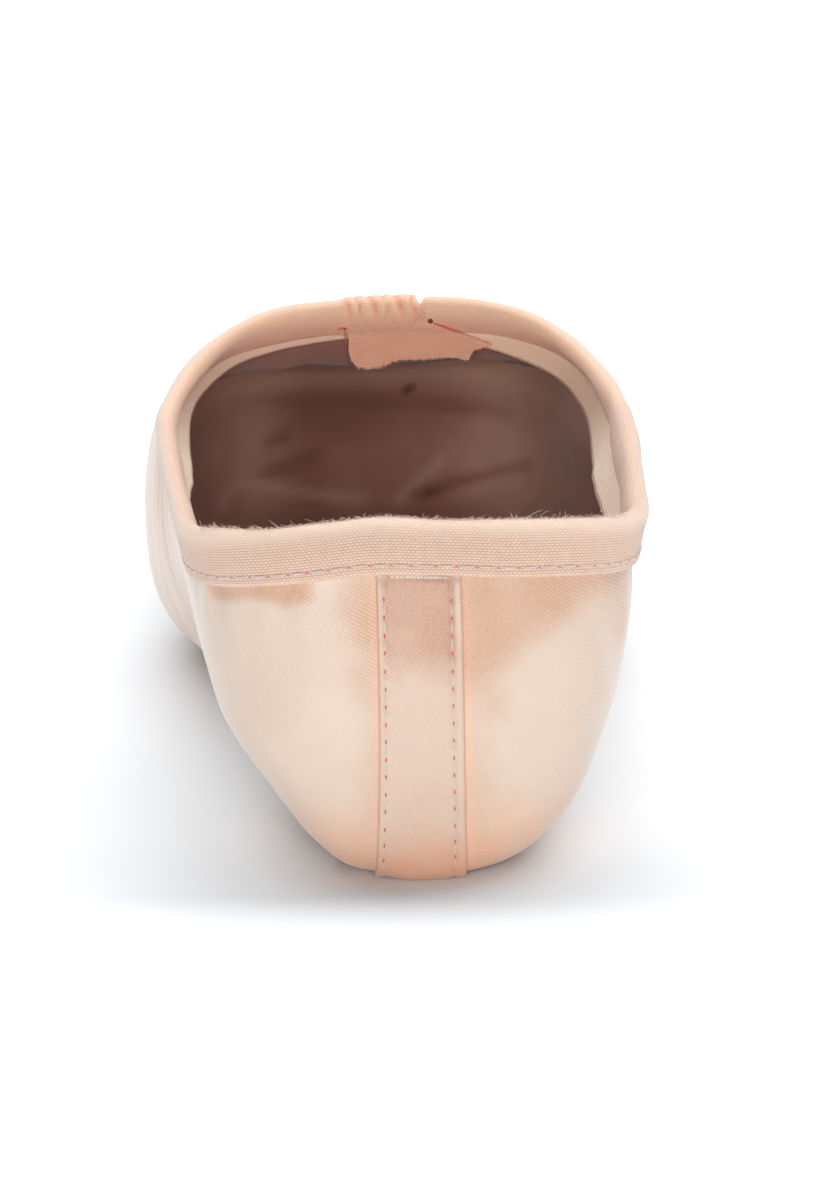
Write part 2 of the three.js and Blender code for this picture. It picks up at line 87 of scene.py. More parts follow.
# Soft waves of the heel's top edge. x: across the heel. rise and wide in mm.
RIM_WAVES = [
    {"x": -6.5, "rise": 0.4, "wide": 6},
    {"x": 13, "rise": -0.45, "wide": 8},
    {"x": -20, "rise": -0.15, "wide": 7},
]
RIM_WAVE_DEPTH = 30
RIM_WAVE_Y = {"from": -92, "fade": 10}
# The heel's lower sides are drawn in unevenly. left, right: share of the width. from, fade: heights in mm.
HEEL_TUCK = {"left": 0.12, "right": -0.025, "from": 24, "fade": 17, "y_from": -70, "y_fade": 20}


# Shape of the last

def lerp(a, b, share):
    return a + (b - a) * share


def ease(x):
    x = np.clip(x, 0, 1)
    return x * x * (3 - 2 * x)


def section(name, y):
    at, values = SECTIONS[:, 0], SECTIONS[:, SECTION_NAMES.index(name)]
    last = len(at) - 1
    k = int(np.clip(np.searchsorted(at, y, side="right") - 1, 0, last - 1))

    def slope(n):
        low, high = max(n - 1, 0), min(n + 1, last)
        return (values[high] - values[low]) / (at[high] - at[low])

    step = at[k + 1] - at[k]
    s = np.clip((y - at[k]) / step, 0, 1)
    rise = values[k + 1] - values[k]
    bend = slope(k) * step - rise
    counter = rise - slope(k + 1) * step
    return values[k] + rise * s + s * (1 - s) * (bend * (1 - s) + counter * s)


def half_width(y):
    return HALF_WIDTH * section("half", y)


def base_half(y):
    return HALF_WIDTH * section("base", y)


def width_slope(y, step=0.5):
    return (half_width(y + step) - half_width(y - step)) / (2 * step)


def tread_height(y):
    in_arch = np.clip((y - ARCH["from"]) / (ARCH["to"] - ARCH["from"]), 0, 1)
    in_toe = np.maximum(0, (y - TOE_SPRING["from"]) / (LENGTH - TOE_SPRING["from"]))
    return ARCH["rise"] * np.sin(np.pi * in_arch) ** 2 + TOE_SPRING["rise"] * in_toe ** 2


def underside_height(y):
    dip = HEEL_DIP["depth"] * ease((HEEL_DIP["from"] - y) / (HEEL_DIP["from"] - HEEL_DIP["to"]))
    return tread_height(y) + SOLE_THICKNESS + SEAT_GAP - dip


def power(x, exponent):
    return max(0.0, x) ** exponent


def rib(turn):
    """Rib of the last. turn runs from 0 at the heel back along the right side to 1 at the toe tip, and
    from there along the left side to 2, back at the heel."""
    side = 1 if turn <= 1 else -1
    place = turn if turn <= 1 else 2 - turn
    if place < 1 / 3:
        made = heel_rib(place * 3 * math.pi / 2)
    elif place <= 2 / 3:
        made = side_rib(lerp(HEEL_FAN["at"], TOE_FAN["at"], place * 3 - 1))
    else:
        made = toe_rib((place * 3 - 2) * math.pi / 2)
    made["side"] = side
    return made


def heel_plan(angle, squareness):
    y = HEEL_FAN["at"] * (1 - power(math.cos(angle), 2 / squareness))
    half = half_width(HEEL_FAN["at"]) + width_slope(HEEL_FAN["at"]) * (y - HEEL_FAN["at"])
    return half * power(math.sin(angle), 2 / squareness), y


def heel_rib(angle):
    at = HEEL_FAN["at"]
    x, y = heel_plan(angle, HEEL_FAN["squareness"])
    edge_x, edge_y = heel_plan(angle, COLLAR["heel_squareness"])
    to_side = math.sin(angle) ** 2
    lean = lerp(HEEL_FAN["lean"], COLLAR["lean"], to_side)
    reach = math.hypot(x, y - at)
    drop = (HEEL_HEIGHT - QUARTER_HEIGHT) * power(math.sin(angle), COLLAR["heel_spread"])
    return {
        "centre": at,
        "widest": (x, y, lerp(HEEL_FAN["widest"], section("widest", at), to_side)),
        "base": 1 / math.hypot(x / reach / base_half(at), (at - y) / reach / HEEL_FAN["base_reach"]),
        "margin": lerp(LASTING_MARGIN["heel"], LASTING_MARGIN["side"], to_side),
        "collar": (edge_x * (1 - lean), lerp(edge_y, at, lean), HEEL_HEIGHT - drop),
        "round": lerp(HEEL_FAN["round"], section("round", at), to_side),
        "shoulder": section("shoulder", at),
        "ramp": 0,
        "open": COLLAR["open_angle"],
        "lip": 0,
    }


def side_rib(y):
    x = half_width(y)
    return {
        "centre": y,
        "widest": (x, y, section("widest", y)),
        "base": base_half(y),
        "margin": LASTING_MARGIN["side"],
        **collar_end(x, y),
        **{name: section(name, y) for name in ("round", "shoulder", "ramp")},
    }


def toe_rib(angle):
    at = TOE_FAN["at"]
    y = lerp(at, LENGTH, power(math.sin(angle), 2 / TOE_FAN["squareness"]))
    x = power(math.cos(angle), 2 / TOE_FAN["squareness"]) * (half_width(at) + width_slope(at) * (y - at))
    reach = math.hypot(x, y - at)
    to_front = math.sin(angle) ** 2

    def blend(name):
        return lerp(section(name, at), TOE_RIB[name], to_front)

    return {
        "centre": at,
        "widest": (x, y, blend("widest")),
        "base": reach / math.hypot(x / base_half(at), (y - at) / TOE_FAN["base_reach"]),
        "margin": LASTING_MARGIN["side"],
        **collar_end(x, y),
        **{name: blend(name) for name in ("round", "shoulder", "ramp")},
    }


def collar_end(x, y):
    run = np.clip((y - HEEL_FAN["at"]) / (COLLAR["arc_from"] - HEEL_FAN["at"]), 0, 1)
    heel_half = half_width(HEEL_FAN["at"]) * (1 - COLLAR["lean"])
    half = lerp(heel_half, COLLAR["arc_half"], math.sin(run * math.pi / 2))
    ahead = max(0, y - COLLAR["arc_from"])
    depth = THROAT_AT - COLLAR["arc_from"]
    turn = math.atan2(ahead * half, max(x, 1e-6) * depth)
    in_vamp = ease(math.sin(turn))
    return {
        "collar": (half * math.cos(turn), min(y, COLLAR["arc_from"]) + depth * math.sin(turn),
                   lerp(QUARTER_HEIGHT, INSTEP_HEIGHT, in_vamp)),
        "open": lerp(COLLAR["open_angle"], 90, ease(math.sin(turn) * 1.4)),
        "lip": LIP["rise"] * in_vamp,
    }


PATH_STEPS = 70
FLANGE_STEPS = 6


def rib_path(r):
    """Points of a rib from the flange's inner edge to the collar."""
    x, y, z = r["widest"]
    reach = math.hypot(x, y - r["centre"])
    to_side, to_end = x / reach, (y - r["centre"]) / reach
    flange = r["base"] - r["margin"] * (1 - np.arange(FLANGE_STEPS) / FLANGE_STEPS)
    flange_z = underside_height(r["centre"] + flange * to_end)
    foot = underside_height(r["centre"] + r["base"] * to_end)
    a = np.linspace(0, np.pi / 2, PATH_STEPS + 1)
    out = lerp(r["base"], reach, np.sin(a) ** (2 / r["round"]))
    low_z = lerp(z, foot, np.maximum(np.cos(a), 0) ** (2 / r["round"]))
    out = np.concatenate([flange, out])
    low = np.stack([out * to_side, r["centre"] + out * to_end, np.concatenate([flange_z, low_z])], 1)
    opening = math.radians(r["open"])
    k = 2 / r["shoulder"]
    inset = 1 - power(math.cos(opening), k)
    share = np.arange(1, PATH_STEPS + 1) / PATH_STEPS
    by_reach = np.arccos((1 - share[:-1] * inset) ** (1 / k))
    b = np.sort(np.concatenate([share * opening, by_reach]))
    across = (1 - np.maximum(np.cos(b), 0) ** k) / inset
    up = (np.sin(b) / math.sin(opening)) ** k
    edge_x, edge_y, edge_z = r["collar"]
    near = np.clip(1 - (1 - across) * math.hypot(edge_x - x, edge_y - y) / LIP["length"], 0, 1)
    rise = (edge_z - r["lip"] - z) * lerp(up, across, r["ramp"]) + r["lip"] * near ** 2
    high = np.stack([lerp(x, edge_x, across), lerp(y, edge_y, across), z + rise], 1)
    path = np.concatenate([low, high])
    path[:, 0] *= r["side"]
    path[:, 1] -= MIDDLE
    below = lengths_along(path[::-1])[::-1]
    path[:, 2] += rim_wave(path[-1]) * ease(1 - below / RIM_WAVE_DEPTH)
    path[:, 0] *= 1 - heel_tuck(path[:, 0], path[:, 1], path[:, 2])
    return path


def heel_tuck(x, y, z):
    tuck = np.where(x > 0, HEEL_TUCK["right"], HEEL_TUCK["left"])
    low = ease((HEEL_TUCK["from"] - z) / HEEL_TUCK["fade"])
    return tuck * low * ease((HEEL_TUCK["y_from"] - y) / HEEL_TUCK["y_fade"])


def rim_wave(edge):
    """Lift of the collar's edge, only along the heel's back."""
    lift = sum(w["rise"] * math.exp(-((edge[0] - w["x"]) / w["wide"]) ** 2) for w in RIM_WAVES)
    return lift * ease((RIM_WAVE_Y["from"] - edge[1]) / RIM_WAVE_Y["fade"])


def lengths_along(path):
    return np.concatenate([[0], np.cumsum(np.linalg.norm(np.diff(path, axis=0), axis=1))])


def points_at(path, lengths):
    run = lengths_along(path)
    return np.stack([np.interp(lengths, run, path[:, i]) for i in range(3)], 1)


def wall_at(y):
    start = COLLAR["arc_from"] + 20
    return lerp(WALL["quarter"], WALL["box"], ease((y + MIDDLE - start) / (TOE_FAN["at"] - start)))


def unit(vectors):
    return vectors / np.maximum(np.linalg.norm(vectors, axis=-1, keepdims=True), 1e-12)


def grid_normals(points, closed):
    along = np.gradient(points, axis=0)
    if closed:
        along = np.roll(points, -1, 0) - np.roll(points, 1, 0)
    return unit(np.cross(along, np.gradient(points, axis=1)))


def evenly_round(count, height_share):
    """Turns of ribs at even steps round the outline at a share of each rib's length."""
    turns = np.linspace(0, 2, 900)
    line = []
    for turn in turns:
        path = rib_path(rib(turn))
        line.append(points_at(path, [lengths_along(path)[-1] * height_share])[0])
    run = lengths_along(np.array(line))
    steps = np.arange(count + 1) * run[-1] / count
    return np.interp(steps[:-1], run, turns), steps


def ripple(points, wavelength, seed, waves=7):
    """Smooth unevenness between about -1 and 1."""
    local = np.random.default_rng(seed)
    directions = unit(local.normal(size=(waves, 3))) * 2 * np.pi / wavelength
    directions *= local.uniform(0.7, 1.4, (waves, 1))
    phases = local.uniform(0, 2 * np.pi, waves)
    return np.sin(points @ directions.T + phases).sum(-1) / math.sqrt(waves)


# Meshes

def add_mesh(name, vertices, faces, material, uv=None, paint=None):
    mesh = bpy.data.meshes.new(name)
    mesh.from_pydata((vertices * MM).tolist(), [], faces)
    if uv is not None:
        mesh.uv_layers.new(name="cloth").data.foreach_set("uv", uv.ravel())
    for layer, values in (paint or {}).items():
        mesh.attributes.new(layer, "FLOAT", "POINT").data.foreach_set("value", values.ravel())
    mesh.polygons.foreach_set("use_smooth", [True] * len(mesh.polygons))
    mesh.materials.append(material)
    made = bpy.data.objects.new(name, mesh)
    bpy.context.scene.collection.objects.link(made)
    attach(made, "root")
    return made


def grid_faces(columns, rows, ring, tube):
    i, j = np.meshgrid(np.arange(columns - (not ring)), np.arange(rows - (not tube)), indexing="ij")
    i, j = i.ravel(), j.ravel()
    corners = [(i, j), (i + 1, j), (i + 1, j + 1), (i, j + 1)]
    faces = np.stack([(a % columns) * rows + b % rows for a, b in corners], 1)
    return faces, corners


def add_tube_ring(name, points, uv, material, **paint):
    """Closed ring of closed sections. uv has one more column and one more row than the points."""
    columns, rows = points.shape[:2]
    faces, corners = grid_faces(columns, rows, True, True)
    loops = np.stack([uv[a, b] for a, b in corners], 1)
    return add_mesh(name, points.reshape(-1, 3), faces.tolist(), material, loops, paint)


def add_shell(name, over, under, uv, material, ring=False, **paint):
    """Closed sheet between two grids of points, with its edges joined. paint: values over the grid."""
    columns, rows = over.shape[:2]
    count = columns * rows
    faces, corners = grid_faces(columns, rows, ring, False)
    loops = np.stack([uv[a, b] for a, b in corners], 1)
    edges, edge_loops = [], []
    spans = np.arange(columns - (not ring))
    for row, flip in ((0, False), (rows - 1, True)):
        a, b = spans * rows + row, (spans + 1) % columns * rows + row
        quad = [a, a + count, b + count, b]
        loop = [uv[spans, row], uv[spans, row], uv[spans + 1, row], uv[spans + 1, row]]
        edges.append(np.stack(quad[::-1] if flip else quad, 1))
        edge_loops.append(np.stack(loop[::-1] if flip else loop, 1))
    steps = np.arange(rows - 1)
    for column, flip in (() if ring else ((0, True), (columns - 1, False))):
        a = column * rows + steps
        quad = [a, a + count, a + 1 + count, a + 1]
        loop = [uv[column, steps], uv[column, steps], uv[column, steps + 1], uv[column, steps + 1]]
        edges.append(np.stack(quad[::-1] if flip else quad, 1))
        edge_loops.append(np.stack(loop[::-1] if flip else loop, 1))
    all_faces = np.concatenate([faces, faces[:, ::-1] + count, *edges])
    all_loops = np.concatenate([loops, loops[:, ::-1], *edge_loops])
    vertices = np.concatenate([over.reshape(-1, 3), under.reshape(-1, 3)])
    doubled = {layer: np.concatenate([values.ravel()] * 2) for layer, values in paint.items()}
    return add_mesh(name, vertices, all_faces.tolist(), material, all_loops, doubled)


def add_tubes(name, lines, radii, material, sides=6):
    """One mesh of round threads, each along its own line of points, with tapered ends."""
    vertices, faces = [], []
    turn = np.arange(sides) * 2 * np.pi / sides
    start = 0
    for line, radius in zip(lines, radii):
        line = np.asarray(line, float)
        along = unit(np.gradient(line, axis=0))
        side = unit(np.cross(along, np.roll(along, 1, 1) + (0.3, 0.5, 0.1)))
        other = np.cross(along, side)
        size = np.full(len(line), radius)
        size[[0, -1]] *= 0.45
        ring = np.cos(turn)[None, :, None] * side[:, None] + np.sin(turn)[None, :, None] * other[:, None]
        vertices.append((line[:, None] + ring * size[:, None, None]).reshape(-1, 3))
        for k in range(len(line) - 1):
            for s in range(sides):
                a, b = start + k * sides + s, start + k * sides + (s + 1) % sides
                faces.append((a, b, b + sides, a + sides))
        end = start + (len(line) - 1) * sides
        faces.append(tuple(range(start + sides - 1, start - 1, -1)))
        faces.append(tuple(range(end, end + sides)))
        start += len(line) * sides
    return add_mesh(name, np.concatenate(vertices), faces, material)


# Materials

def srgb(red, green, blue):
    channel = np.array([red, green, blue]) / 255
    linear = np.where(channel <= 0.04045, channel / 12.92, ((channel + 0.055) / 1.055) ** 2.4)
    return (*linear.tolist(), 1.0)


def add_node(tree, kind, settings=None, **sockets):
    """New node. A socket's name has _ for a space, and its value is a number, a colour or an output."""
    made = tree.nodes.new(kind)
    for name, value in (settings or {}).items():
        setattr(made, name, value)
    for name, value in sockets.items():
        feed(tree, made.inputs[name.replace("_", " ")], value)
    return made


def feed(tree, socket, value):
    if isinstance(value, bpy.types.NodeSocket):
        tree.links.new(value, socket)
    else:
        socket.default_value = value


def new_material(name, **values):
    made = bpy.data.materials.new(name)
    made.use_nodes = True
    shader = made.node_tree.nodes["Principled BSDF"]
    for socket, value in values.items():
        shader.inputs[socket.replace("_", " ")].default_value = value
    return made, made.node_tree, shader


def math_node(tree, operation, a, b=0.0, c=0.0):
    made = add_node(tree, "ShaderNodeMath", {"operation": operation})
    for socket, value in zip(made.inputs, (a, b, c)):
        feed(tree, socket, value)
    return made.outputs[0]


def mix_colour(tree, share, a, b, blend="MIX"):
    made = add_node(tree, "ShaderNodeMix", {"data_type": "RGBA", "blend_type": blend})
    for socket, value in ((0, share), (6, a), (7, b)):
        feed(tree, made.inputs[socket], value)
    return made.outputs[2]


def ramp(tree, value, low, high):
    """0 below low, 1 above high, smooth between."""
    made = add_node(tree, "ShaderNodeMapRange", {"interpolation_type": "SMOOTHSTEP"}, Value=value,
                    From_Min=low, From_Max=high)
    return made.outputs["Result"]


def noise(tree, vector, scale, detail=2.0, roughness=0.5):
    made = add_node(tree, "ShaderNodeTexNoise", Vector=vector, Scale=scale, Detail=detail,
                    Roughness=roughness)
    return made.outputs["Fac"]


def cloth_uv(tree):
    return add_node(tree, "ShaderNodeUVMap", {"uv_map": "cloth"}).outputs["UV"]


def object_place(tree):
    return add_node(tree, "ShaderNodeTexCoord").outputs["Object"]


def painted(tree, layer):
    return add_node(tree, "ShaderNodeAttribute", {"attribute_name": layer}).outputs["Fac"]


def bands(tree, vector, pitch, angle, distortion=0.0):
    """Soft parallel threads of a pitch in millimetres, at an angle in the cloth."""
    turned = add_node(tree, "ShaderNodeMapping", Vector=vector, Rotation=(0, 0, math.radians(angle)))
    made = add_node(tree, "ShaderNodeTexWave", {"bands_direction": "X"}, Vector=turned.outputs[0],
                    Scale=math.pi / 10 / pitch, Distortion=distortion, Detail=1.0, Detail_Scale=3.0)
    return made.outputs["Fac"]


def bricks(tree, vector, width, height):
    """Plain weave: 1 on the threads and 0 in the gaps between them."""
    made = add_node(tree, "ShaderNodeTexBrick", {"offset": 0.5}, Vector=vector, Scale=1.0,
                    Brick_Width=width, Row_Height=height, Mortar_Size=height * 0.28, Mortar_Smooth=1.0)
    return math_node(tree, "SUBTRACT", 1.0, made.outputs["Fac"])


def add_bump(tree, shader, height, strength, depth_mm, before=None):
    made = add_node(tree, "ShaderNodeBump", Height=height, Strength=strength, Distance=depth_mm * MM)
    if before is not None:
        tree.links.new(before, made.inputs["Normal"])
    tree.links.new(made.outputs[0], shader.inputs["Normal"])
    return made.outputs[0]


TWILL = {"pitch": 0.5, "angle": -52, "float": 1.1}


def satin_material(name, light, dark, blush, thread_gap):
    """Satin: dotted diagonal float threads that show where it is darker, and a broad soft gloss. The tone
    layer mixes in the dark colour (painted shade on the heel, a darker forefoot); the other painted layer
    mixes in a painted warm reflection.
    """
    made, tree, shader = new_material(name, Roughness=0.5, Specular_IOR_Level=0.5, Sheen_Weight=0.3,
                                      Sheen_Roughness=0.4)
    uv = cloth_uv(tree)
    twill = bands(tree, uv, TWILL["pitch"], TWILL["angle"], 0.8)
    along = add_node(tree, "ShaderNodeMapping", Vector=uv, Rotation=(0, 0, math.radians(TWILL["angle"])),
                     Scale=(1 / TWILL["pitch"], 1 / TWILL["float"], 1))
    floats = ramp(tree, noise(tree, along.outputs[0], 1.0, 1.0), 0.3, 0.62)
    weave = math_node(tree, "MULTIPLY", twill, math_node(tree, "MULTIPLY_ADD", floats, 0.7, 0.3))
    cloud = math_node(tree, "SUBTRACT", noise(tree, object_place(tree), 90, 3.0), 0.5)
    tone = ramp(tree, math_node(tree, "MULTIPLY_ADD", cloud, 0.3, painted(tree, "tone")), 0.0, 1.0)
    body = mix_colour(tree, painted(tree, "blush"), mix_colour(tree, tone, light, dark), blush)
    worn = math_node(tree, "MULTIPLY_ADD", ramp(tree, cloud, -0.15, 0.2), 0.14, 0.11)
    shown = math_node(tree, "MULTIPLY_ADD", tone, 0.55, worn)
    gaps = math_node(tree, "MULTIPLY", math_node(tree, "SUBTRACT", 1.0, weave), shown)
    tree.links.new(mix_colour(tree, gaps, body, thread_gap), shader.inputs["Base Color"])
    add_bump(tree, shader, weave, 0.3, 0.06)
    return made


def cotton_material(name, light, dark, width, height, painted_light=()):
    """Plain woven cotton: bricks of thread with warmer gaps and slubs. The last argument: names and
    colours of painted layers of highlight, reflection and shade.
    """
    made, tree, shader = new_material(name, Roughness=0.9, Specular_IOR_Level=0.2, Sheen_Weight=0.35,
                                      Sheen_Roughness=0.6)
    uv = cloth_uv(tree)
    wobble = add_node(tree, "ShaderNodeTexNoise", Vector=uv, Scale=0.35, Detail=2.0)
    moved = mix_colour(tree, 0.12, uv, wobble.outputs["Color"], "ADD")
    threads = bricks(tree, moved, width, height)
    slub = noise(tree, uv, 0.8, 3.0)
    cover = math_node(tree, "MULTIPLY", threads, math_node(tree, "MULTIPLY_ADD", slub, 0.7, 0.55))
    colour = mix_colour(tree, cover, dark, light)
    for layer, painted_colour in painted_light:
        colour = mix_colour(tree, painted(tree, layer), colour, painted_colour)
    tree.links.new(colour, shader.inputs["Base Color"])
    add_bump(tree, shader, threads, 0.6, 0.12)
    return made


def plain_thread(name, colour):
    made, tree, shader = new_material(name, Roughness=0.7, Sheen_Weight=0.3)
    shade = noise(tree, object_place(tree), 900, 2.0)
    dark = tuple(0.75 * c for c in colour[:3]) + (1.0,)
    tree.links.new(mix_colour(tree, shade, dark, colour), shader.inputs["Base Color"])
    return made


def lining_material(name, light, dark):
    """Brushed lining cloth: soft clouds of darker colour, a faint fine weave, and painted marks and
    painted shade from the tone layer.
    """
    made, tree, shader = new_material(name, Roughness=0.85, Specular_IOR_Level=0.2, Sheen_Weight=0.2,
                                      Sheen_Roughness=0.5)
    uv = cloth_uv(tree)
    cloud = noise(tree, object_place(tree), 45, 4.0, 0.55)
    clear = math_node(tree, "MULTIPLY_ADD", ramp(tree, cloud, 0.3, 0.7), 0.24, 0.38)
    clear = math_node(tree, "SUBTRACT", clear, painted(tree, "tone"))
    clear = add_node(tree, "ShaderNodeClamp", Value=clear, Min=-0.6, Max=1.0).outputs[0]
    # Deepest colour, for the painted shade and the pricks: half the dark colour
    deep_shade_and_mark_colour = tuple(0.5 * c for c in dark[:3]) + (1.0,)
    share = add_node(tree, "ShaderNodeMapRange", Value=clear, From_Min=-0.6, From_Max=0.0).outputs[0]
    low = mix_colour(tree, share, deep_shade_and_mark_colour, dark)
    shade = mix_colour(tree, math_node(tree, "MAXIMUM", clear, 0.0), low, light)
    threads = bricks(tree, uv, 0.5, 0.3)
    fine = math_node(tree, "MULTIPLY", math_node(tree, "SUBTRACT", 1.0, threads), 0.18)
    tree.links.new(mix_colour(tree, fine, shade, dark), shader.inputs["Base Color"])
    creased = add_bump(tree, shader, cloud, 0.22, 1.2)
    add_bump(tree, shader, threads, 0.25, 0.05, creased)
    return made


def leather_material(name, light, dark):
    """Buffed sole leather: fine pores and long scuffs."""
    made, tree, shader = new_material(name, Roughness=0.8, Specular_IOR_Level=0.25)
    place = object_place(tree)
    stretched = add_node(tree, "ShaderNodeMapping", Vector=place, Scale=(260, 60, 260))
    scuff = noise(tree, stretched.outputs[0], 1.0, 4.0, 0.65)
    pores = add_node(tree, "ShaderNodeTexVoronoi", {"feature": "DISTANCE_TO_EDGE"}, Vector=place,
                     Scale=1400)
    shade = mix_colour(tree, ramp(tree, scuff, 0.3, 0.75), dark, light)
    tree.links.new(shade, shader.inputs["Base Color"])
    first = add_bump(tree, shader, pores.outputs["Distance"], 0.4, 0.15)
    add_bump(tree, shader, scuff, 0.3, 0.2, first)
    return made


# Each satin's third colour is its painted warm reflection
SATIN = satin_material("upper_satin", srgb(220, 200, 183), srgb(211, 174, 147), srgb(244, 188, 154),
                       srgb(196, 146, 116))
STRIP_SATIN = satin_material("strip_satin", srgb(216, 191, 172), srgb(200, 160, 136), srgb(222, 166, 134),
                             srgb(186, 136, 108))
# Painted light on the binding: painted highlights on the outer face and the top, painted warm reflection
# and shade on the inner face, painted shade in the gathered folds
TAPE_PAINTED_LIGHT = (
    ("outer_highlight", srgb(220, 208, 196)),
    ("top_highlight", srgb(246, 220, 200)),
    ("warm", srgb(246, 204, 172)),
    ("peach_shade", srgb(230, 172, 142)),
    ("coral_fold_shade", srgb(230, 132, 98)),
)
TAPE = cotton_material("binding_cotton", srgb(228, 204, 187), srgb(206, 153, 122), 0.66, 0.4, TAPE_PAINTED_LIGHT)
RAW_TAPE = cotton_material("tab_cotton", srgb(236, 184, 156), srgb(222, 160, 130), 0.5, 0.36)
# The facing's painted layer is a painted warm reflection toward the throat
FACING = cotton_material("facing_cotton", srgb(238, 220, 198), srgb(224, 192, 164), 0.5, 0.35,
                         [("warm", srgb(247, 211, 183))])
LINING = lining_material("lining_cloth", srgb(234, 198, 180), srgb(166, 120, 106))
LEATHER = leather_material("sole_leather", srgb(206, 180, 154), srgb(160, 126, 100))
PALE_THREAD = plain_thread("pale_thread", srgb(222, 206, 202))
CORAL_THREAD = plain_thread("coral_thread", srgb(222, 110, 80))
ROSE_THREAD = plain_thread("rose_thread", srgb(212, 134, 108))
DARK_THREAD = plain_thread("dark_thread", srgb(112, 62, 54))
FUZZ = plain_thread("cotton_fuzz", srgb(240, 216, 198))


# Upper: outer satin and inner lining

def face_grid(columns, rows, height_share=0.55):
    """Points, normals, distances below the collar and cloth coordinates of the outer face."""
    turns, steps = evenly_round(columns, height_share)
    points = np.zeros((columns, rows, 3))
    below = np.zeros((columns, rows))
    uv = np.zeros((columns + 1, rows, 2))
    for i, turn in enumerate(turns):
        path = rib_path(rib(turn))
        total = lengths_along(path)[-1]
        lengths = np.linspace(0, total, rows)
        points[i] = points_at(path, lengths)
        below[i] = total - lengths
        uv[i, :, 1] = lengths
    uv[-1, :, 1] = uv[0, :, 1]
    uv[:, :, 0] = steps[:, None]
    return points, grid_normals(points, True), below, uv, turns


PLEATS = {"pitch": 5.2, "toe_depth": 0.75, "toe_height": 15, "heel_depth": 0.22, "heel_height": 9}
PUCKER = {"pitch": 8, "depth": 0.14, "reach": 9}
GATHER_FOLDS = {"pitch": 7, "depth": 0.45, "reach": 17}
# Upright creases under the binding. x: across the heel. depth, width and length in mm.
HEEL_CREASES = [
    {"x": -31.4, "side_from": -90, "depth": -0.4, "width": 0.8, "length": 5},
    {"x": -29.6, "side_from": -90, "depth": 0.4, "width": 0.9, "length": 6},
    {"x": 28.5, "side_from": -90, "depth": -0.35, "width": 0.9, "length": 7},
    {"x": 30.5, "side_from": -84, "depth": 0.35, "width": 0.9, "length": 7},
]


STRIP_FROM = -95


def satin_relief(points, below, above, turns):
    """How far the satin stands off the smooth last: pleats at the sole, folds at the collar."""
    place = np.where(turns <= 1, turns, 2 - turns)[:, None]
    x, y = points[..., 0], points[..., 1]
    base_run = lengths_along(np.concatenate([points[:, 0], points[:1, 0]]))[:-1]
    jitter = 0.9 * np.sin(base_run * 0.21) + 0.6 * np.sin(base_run * 0.53 + 1)
    fold = np.abs(np.sin(np.pi * (base_run + jitter) / PLEATS["pitch"]))[:, None] ** 0.7 - 0.6
    in_toe = ease((place - 0.56) / 0.12)
    in_heel = ease((0.3 - place) / 0.15)
    toe = PLEATS["toe_depth"] * in_toe * np.exp(-((above - 3) / PLEATS["toe_height"]) ** 2)
    heel = PLEATS["heel_depth"] * in_heel * np.exp(-((above - 12) / PLEATS["heel_height"]) ** 2)
    relief = fold * (toe + heel)
    hang = np.clip(below - BINDING["outside"], 0, None)
    collar_run = lengths_along(np.concatenate([points[:, -1], points[:1, -1]]))[:-1][:, None]
    soft = np.sin(2 * np.pi * collar_run / PUCKER["pitch"] + 2.3 * np.sin(collar_run * 0.13))
    relief = relief + PUCKER["depth"] * soft * np.exp(-(hang / PUCKER["reach"]) ** 2) * (1 - in_toe)
    in_vamp = ease((y + MIDDLE - 96) / 22)
    fan = np.sin(2 * np.pi * collar_run / GATHER_FOLDS["pitch"] + 1.7 * np.sin(collar_run * 0.17))
    relief = relief + GATHER_FOLDS["depth"] * in_vamp * fan * np.exp(-(hang / GATHER_FOLDS["reach"]) ** 2)
    for crease in HEEL_CREASES:
        close = np.exp(-((x - crease["x"]) / crease["width"]) ** 2) * (y < crease["side_from"])
        relief = relief - crease["depth"] * close * np.exp(-(hang / crease["length"]) ** 2)
    uneven = 0.22 * ripple(points, 46, 3) + 0.08 * ripple(points, 15, 5)
    under_strip = ease((9.5 - np.abs(x)) / 3) * (y < STRIP_FROM)
    return (relief + uneven) * (1 - under_strip)


def spot(x, z, wide, high, strength, soft, turn=0, ragged=0.3):
    """Patch of colour on the heel. x, z: middle in mm. wide, high: half sizes. turn: degrees.
    soft: how far the edge fades, as a share of the size. ragged: how uneven the edge is."""
    return {"x": x, "z": z, "wide": wide, "high": high, "strength": strength, "soft": soft, "turn": turn,
            "ragged": ragged}


# Painted shade on the heel's satin: darker patches where the sheen reflects darker surroundings, beside
# the strip and under the binding
HEEL_PAINTED_SHADE = [
    spot(x=9, z=40, wide=4, high=10, strength=0.5, soft=0.9, turn=12),
    spot(x=31, z=40, wide=2.5, high=9, strength=0.4, soft=0.8),
    spot(x=-7.5, z=43, wide=3.6, high=9, strength=0.65, soft=0.98),
    spot(x=-7, z=22, wide=3.6, high=28, strength=0.35, soft=0.98),
    spot(x=8, z=20, wide=4, high=28, strength=0.35, soft=0.98),
]
# Painted shade above a slanting edge, just under the binding, where the sheen reflects darker
# surroundings. line: two points in mm. span: from and to across the heel.
HEEL_PAINTED_SHADE_EDGES = [
    {"line": ((6.5, 31.5), (31, 44)), "span": (5, 34), "strength": 0.75, "soft": 9, "ragged": 0.4},
    {"line": ((-31, 42.9), (-15, 43.6)), "span": (-31.5, -15), "strength": 0.85, "soft": 2.6,
     "ragged": 0.4},
]
# Painted warm reflection: creases beside the strip and the turn under the heel
HEEL_PAINTED_REFLECTION = [
    spot(x=6.8, z=22, wide=0.5, high=40, strength=0.5, soft=0.95, ragged=0.1),
    spot(x=-6.8, z=22, wide=0.5, high=40, strength=0.45, soft=0.95, ragged=0.1),
    spot(x=0, z=-3, wide=45, high=11, strength=0.8, soft=0.85, ragged=0.1),
]


def layered(tone, strength, fade):
    return 1 - (1 - tone) * (1 - strength * fade)


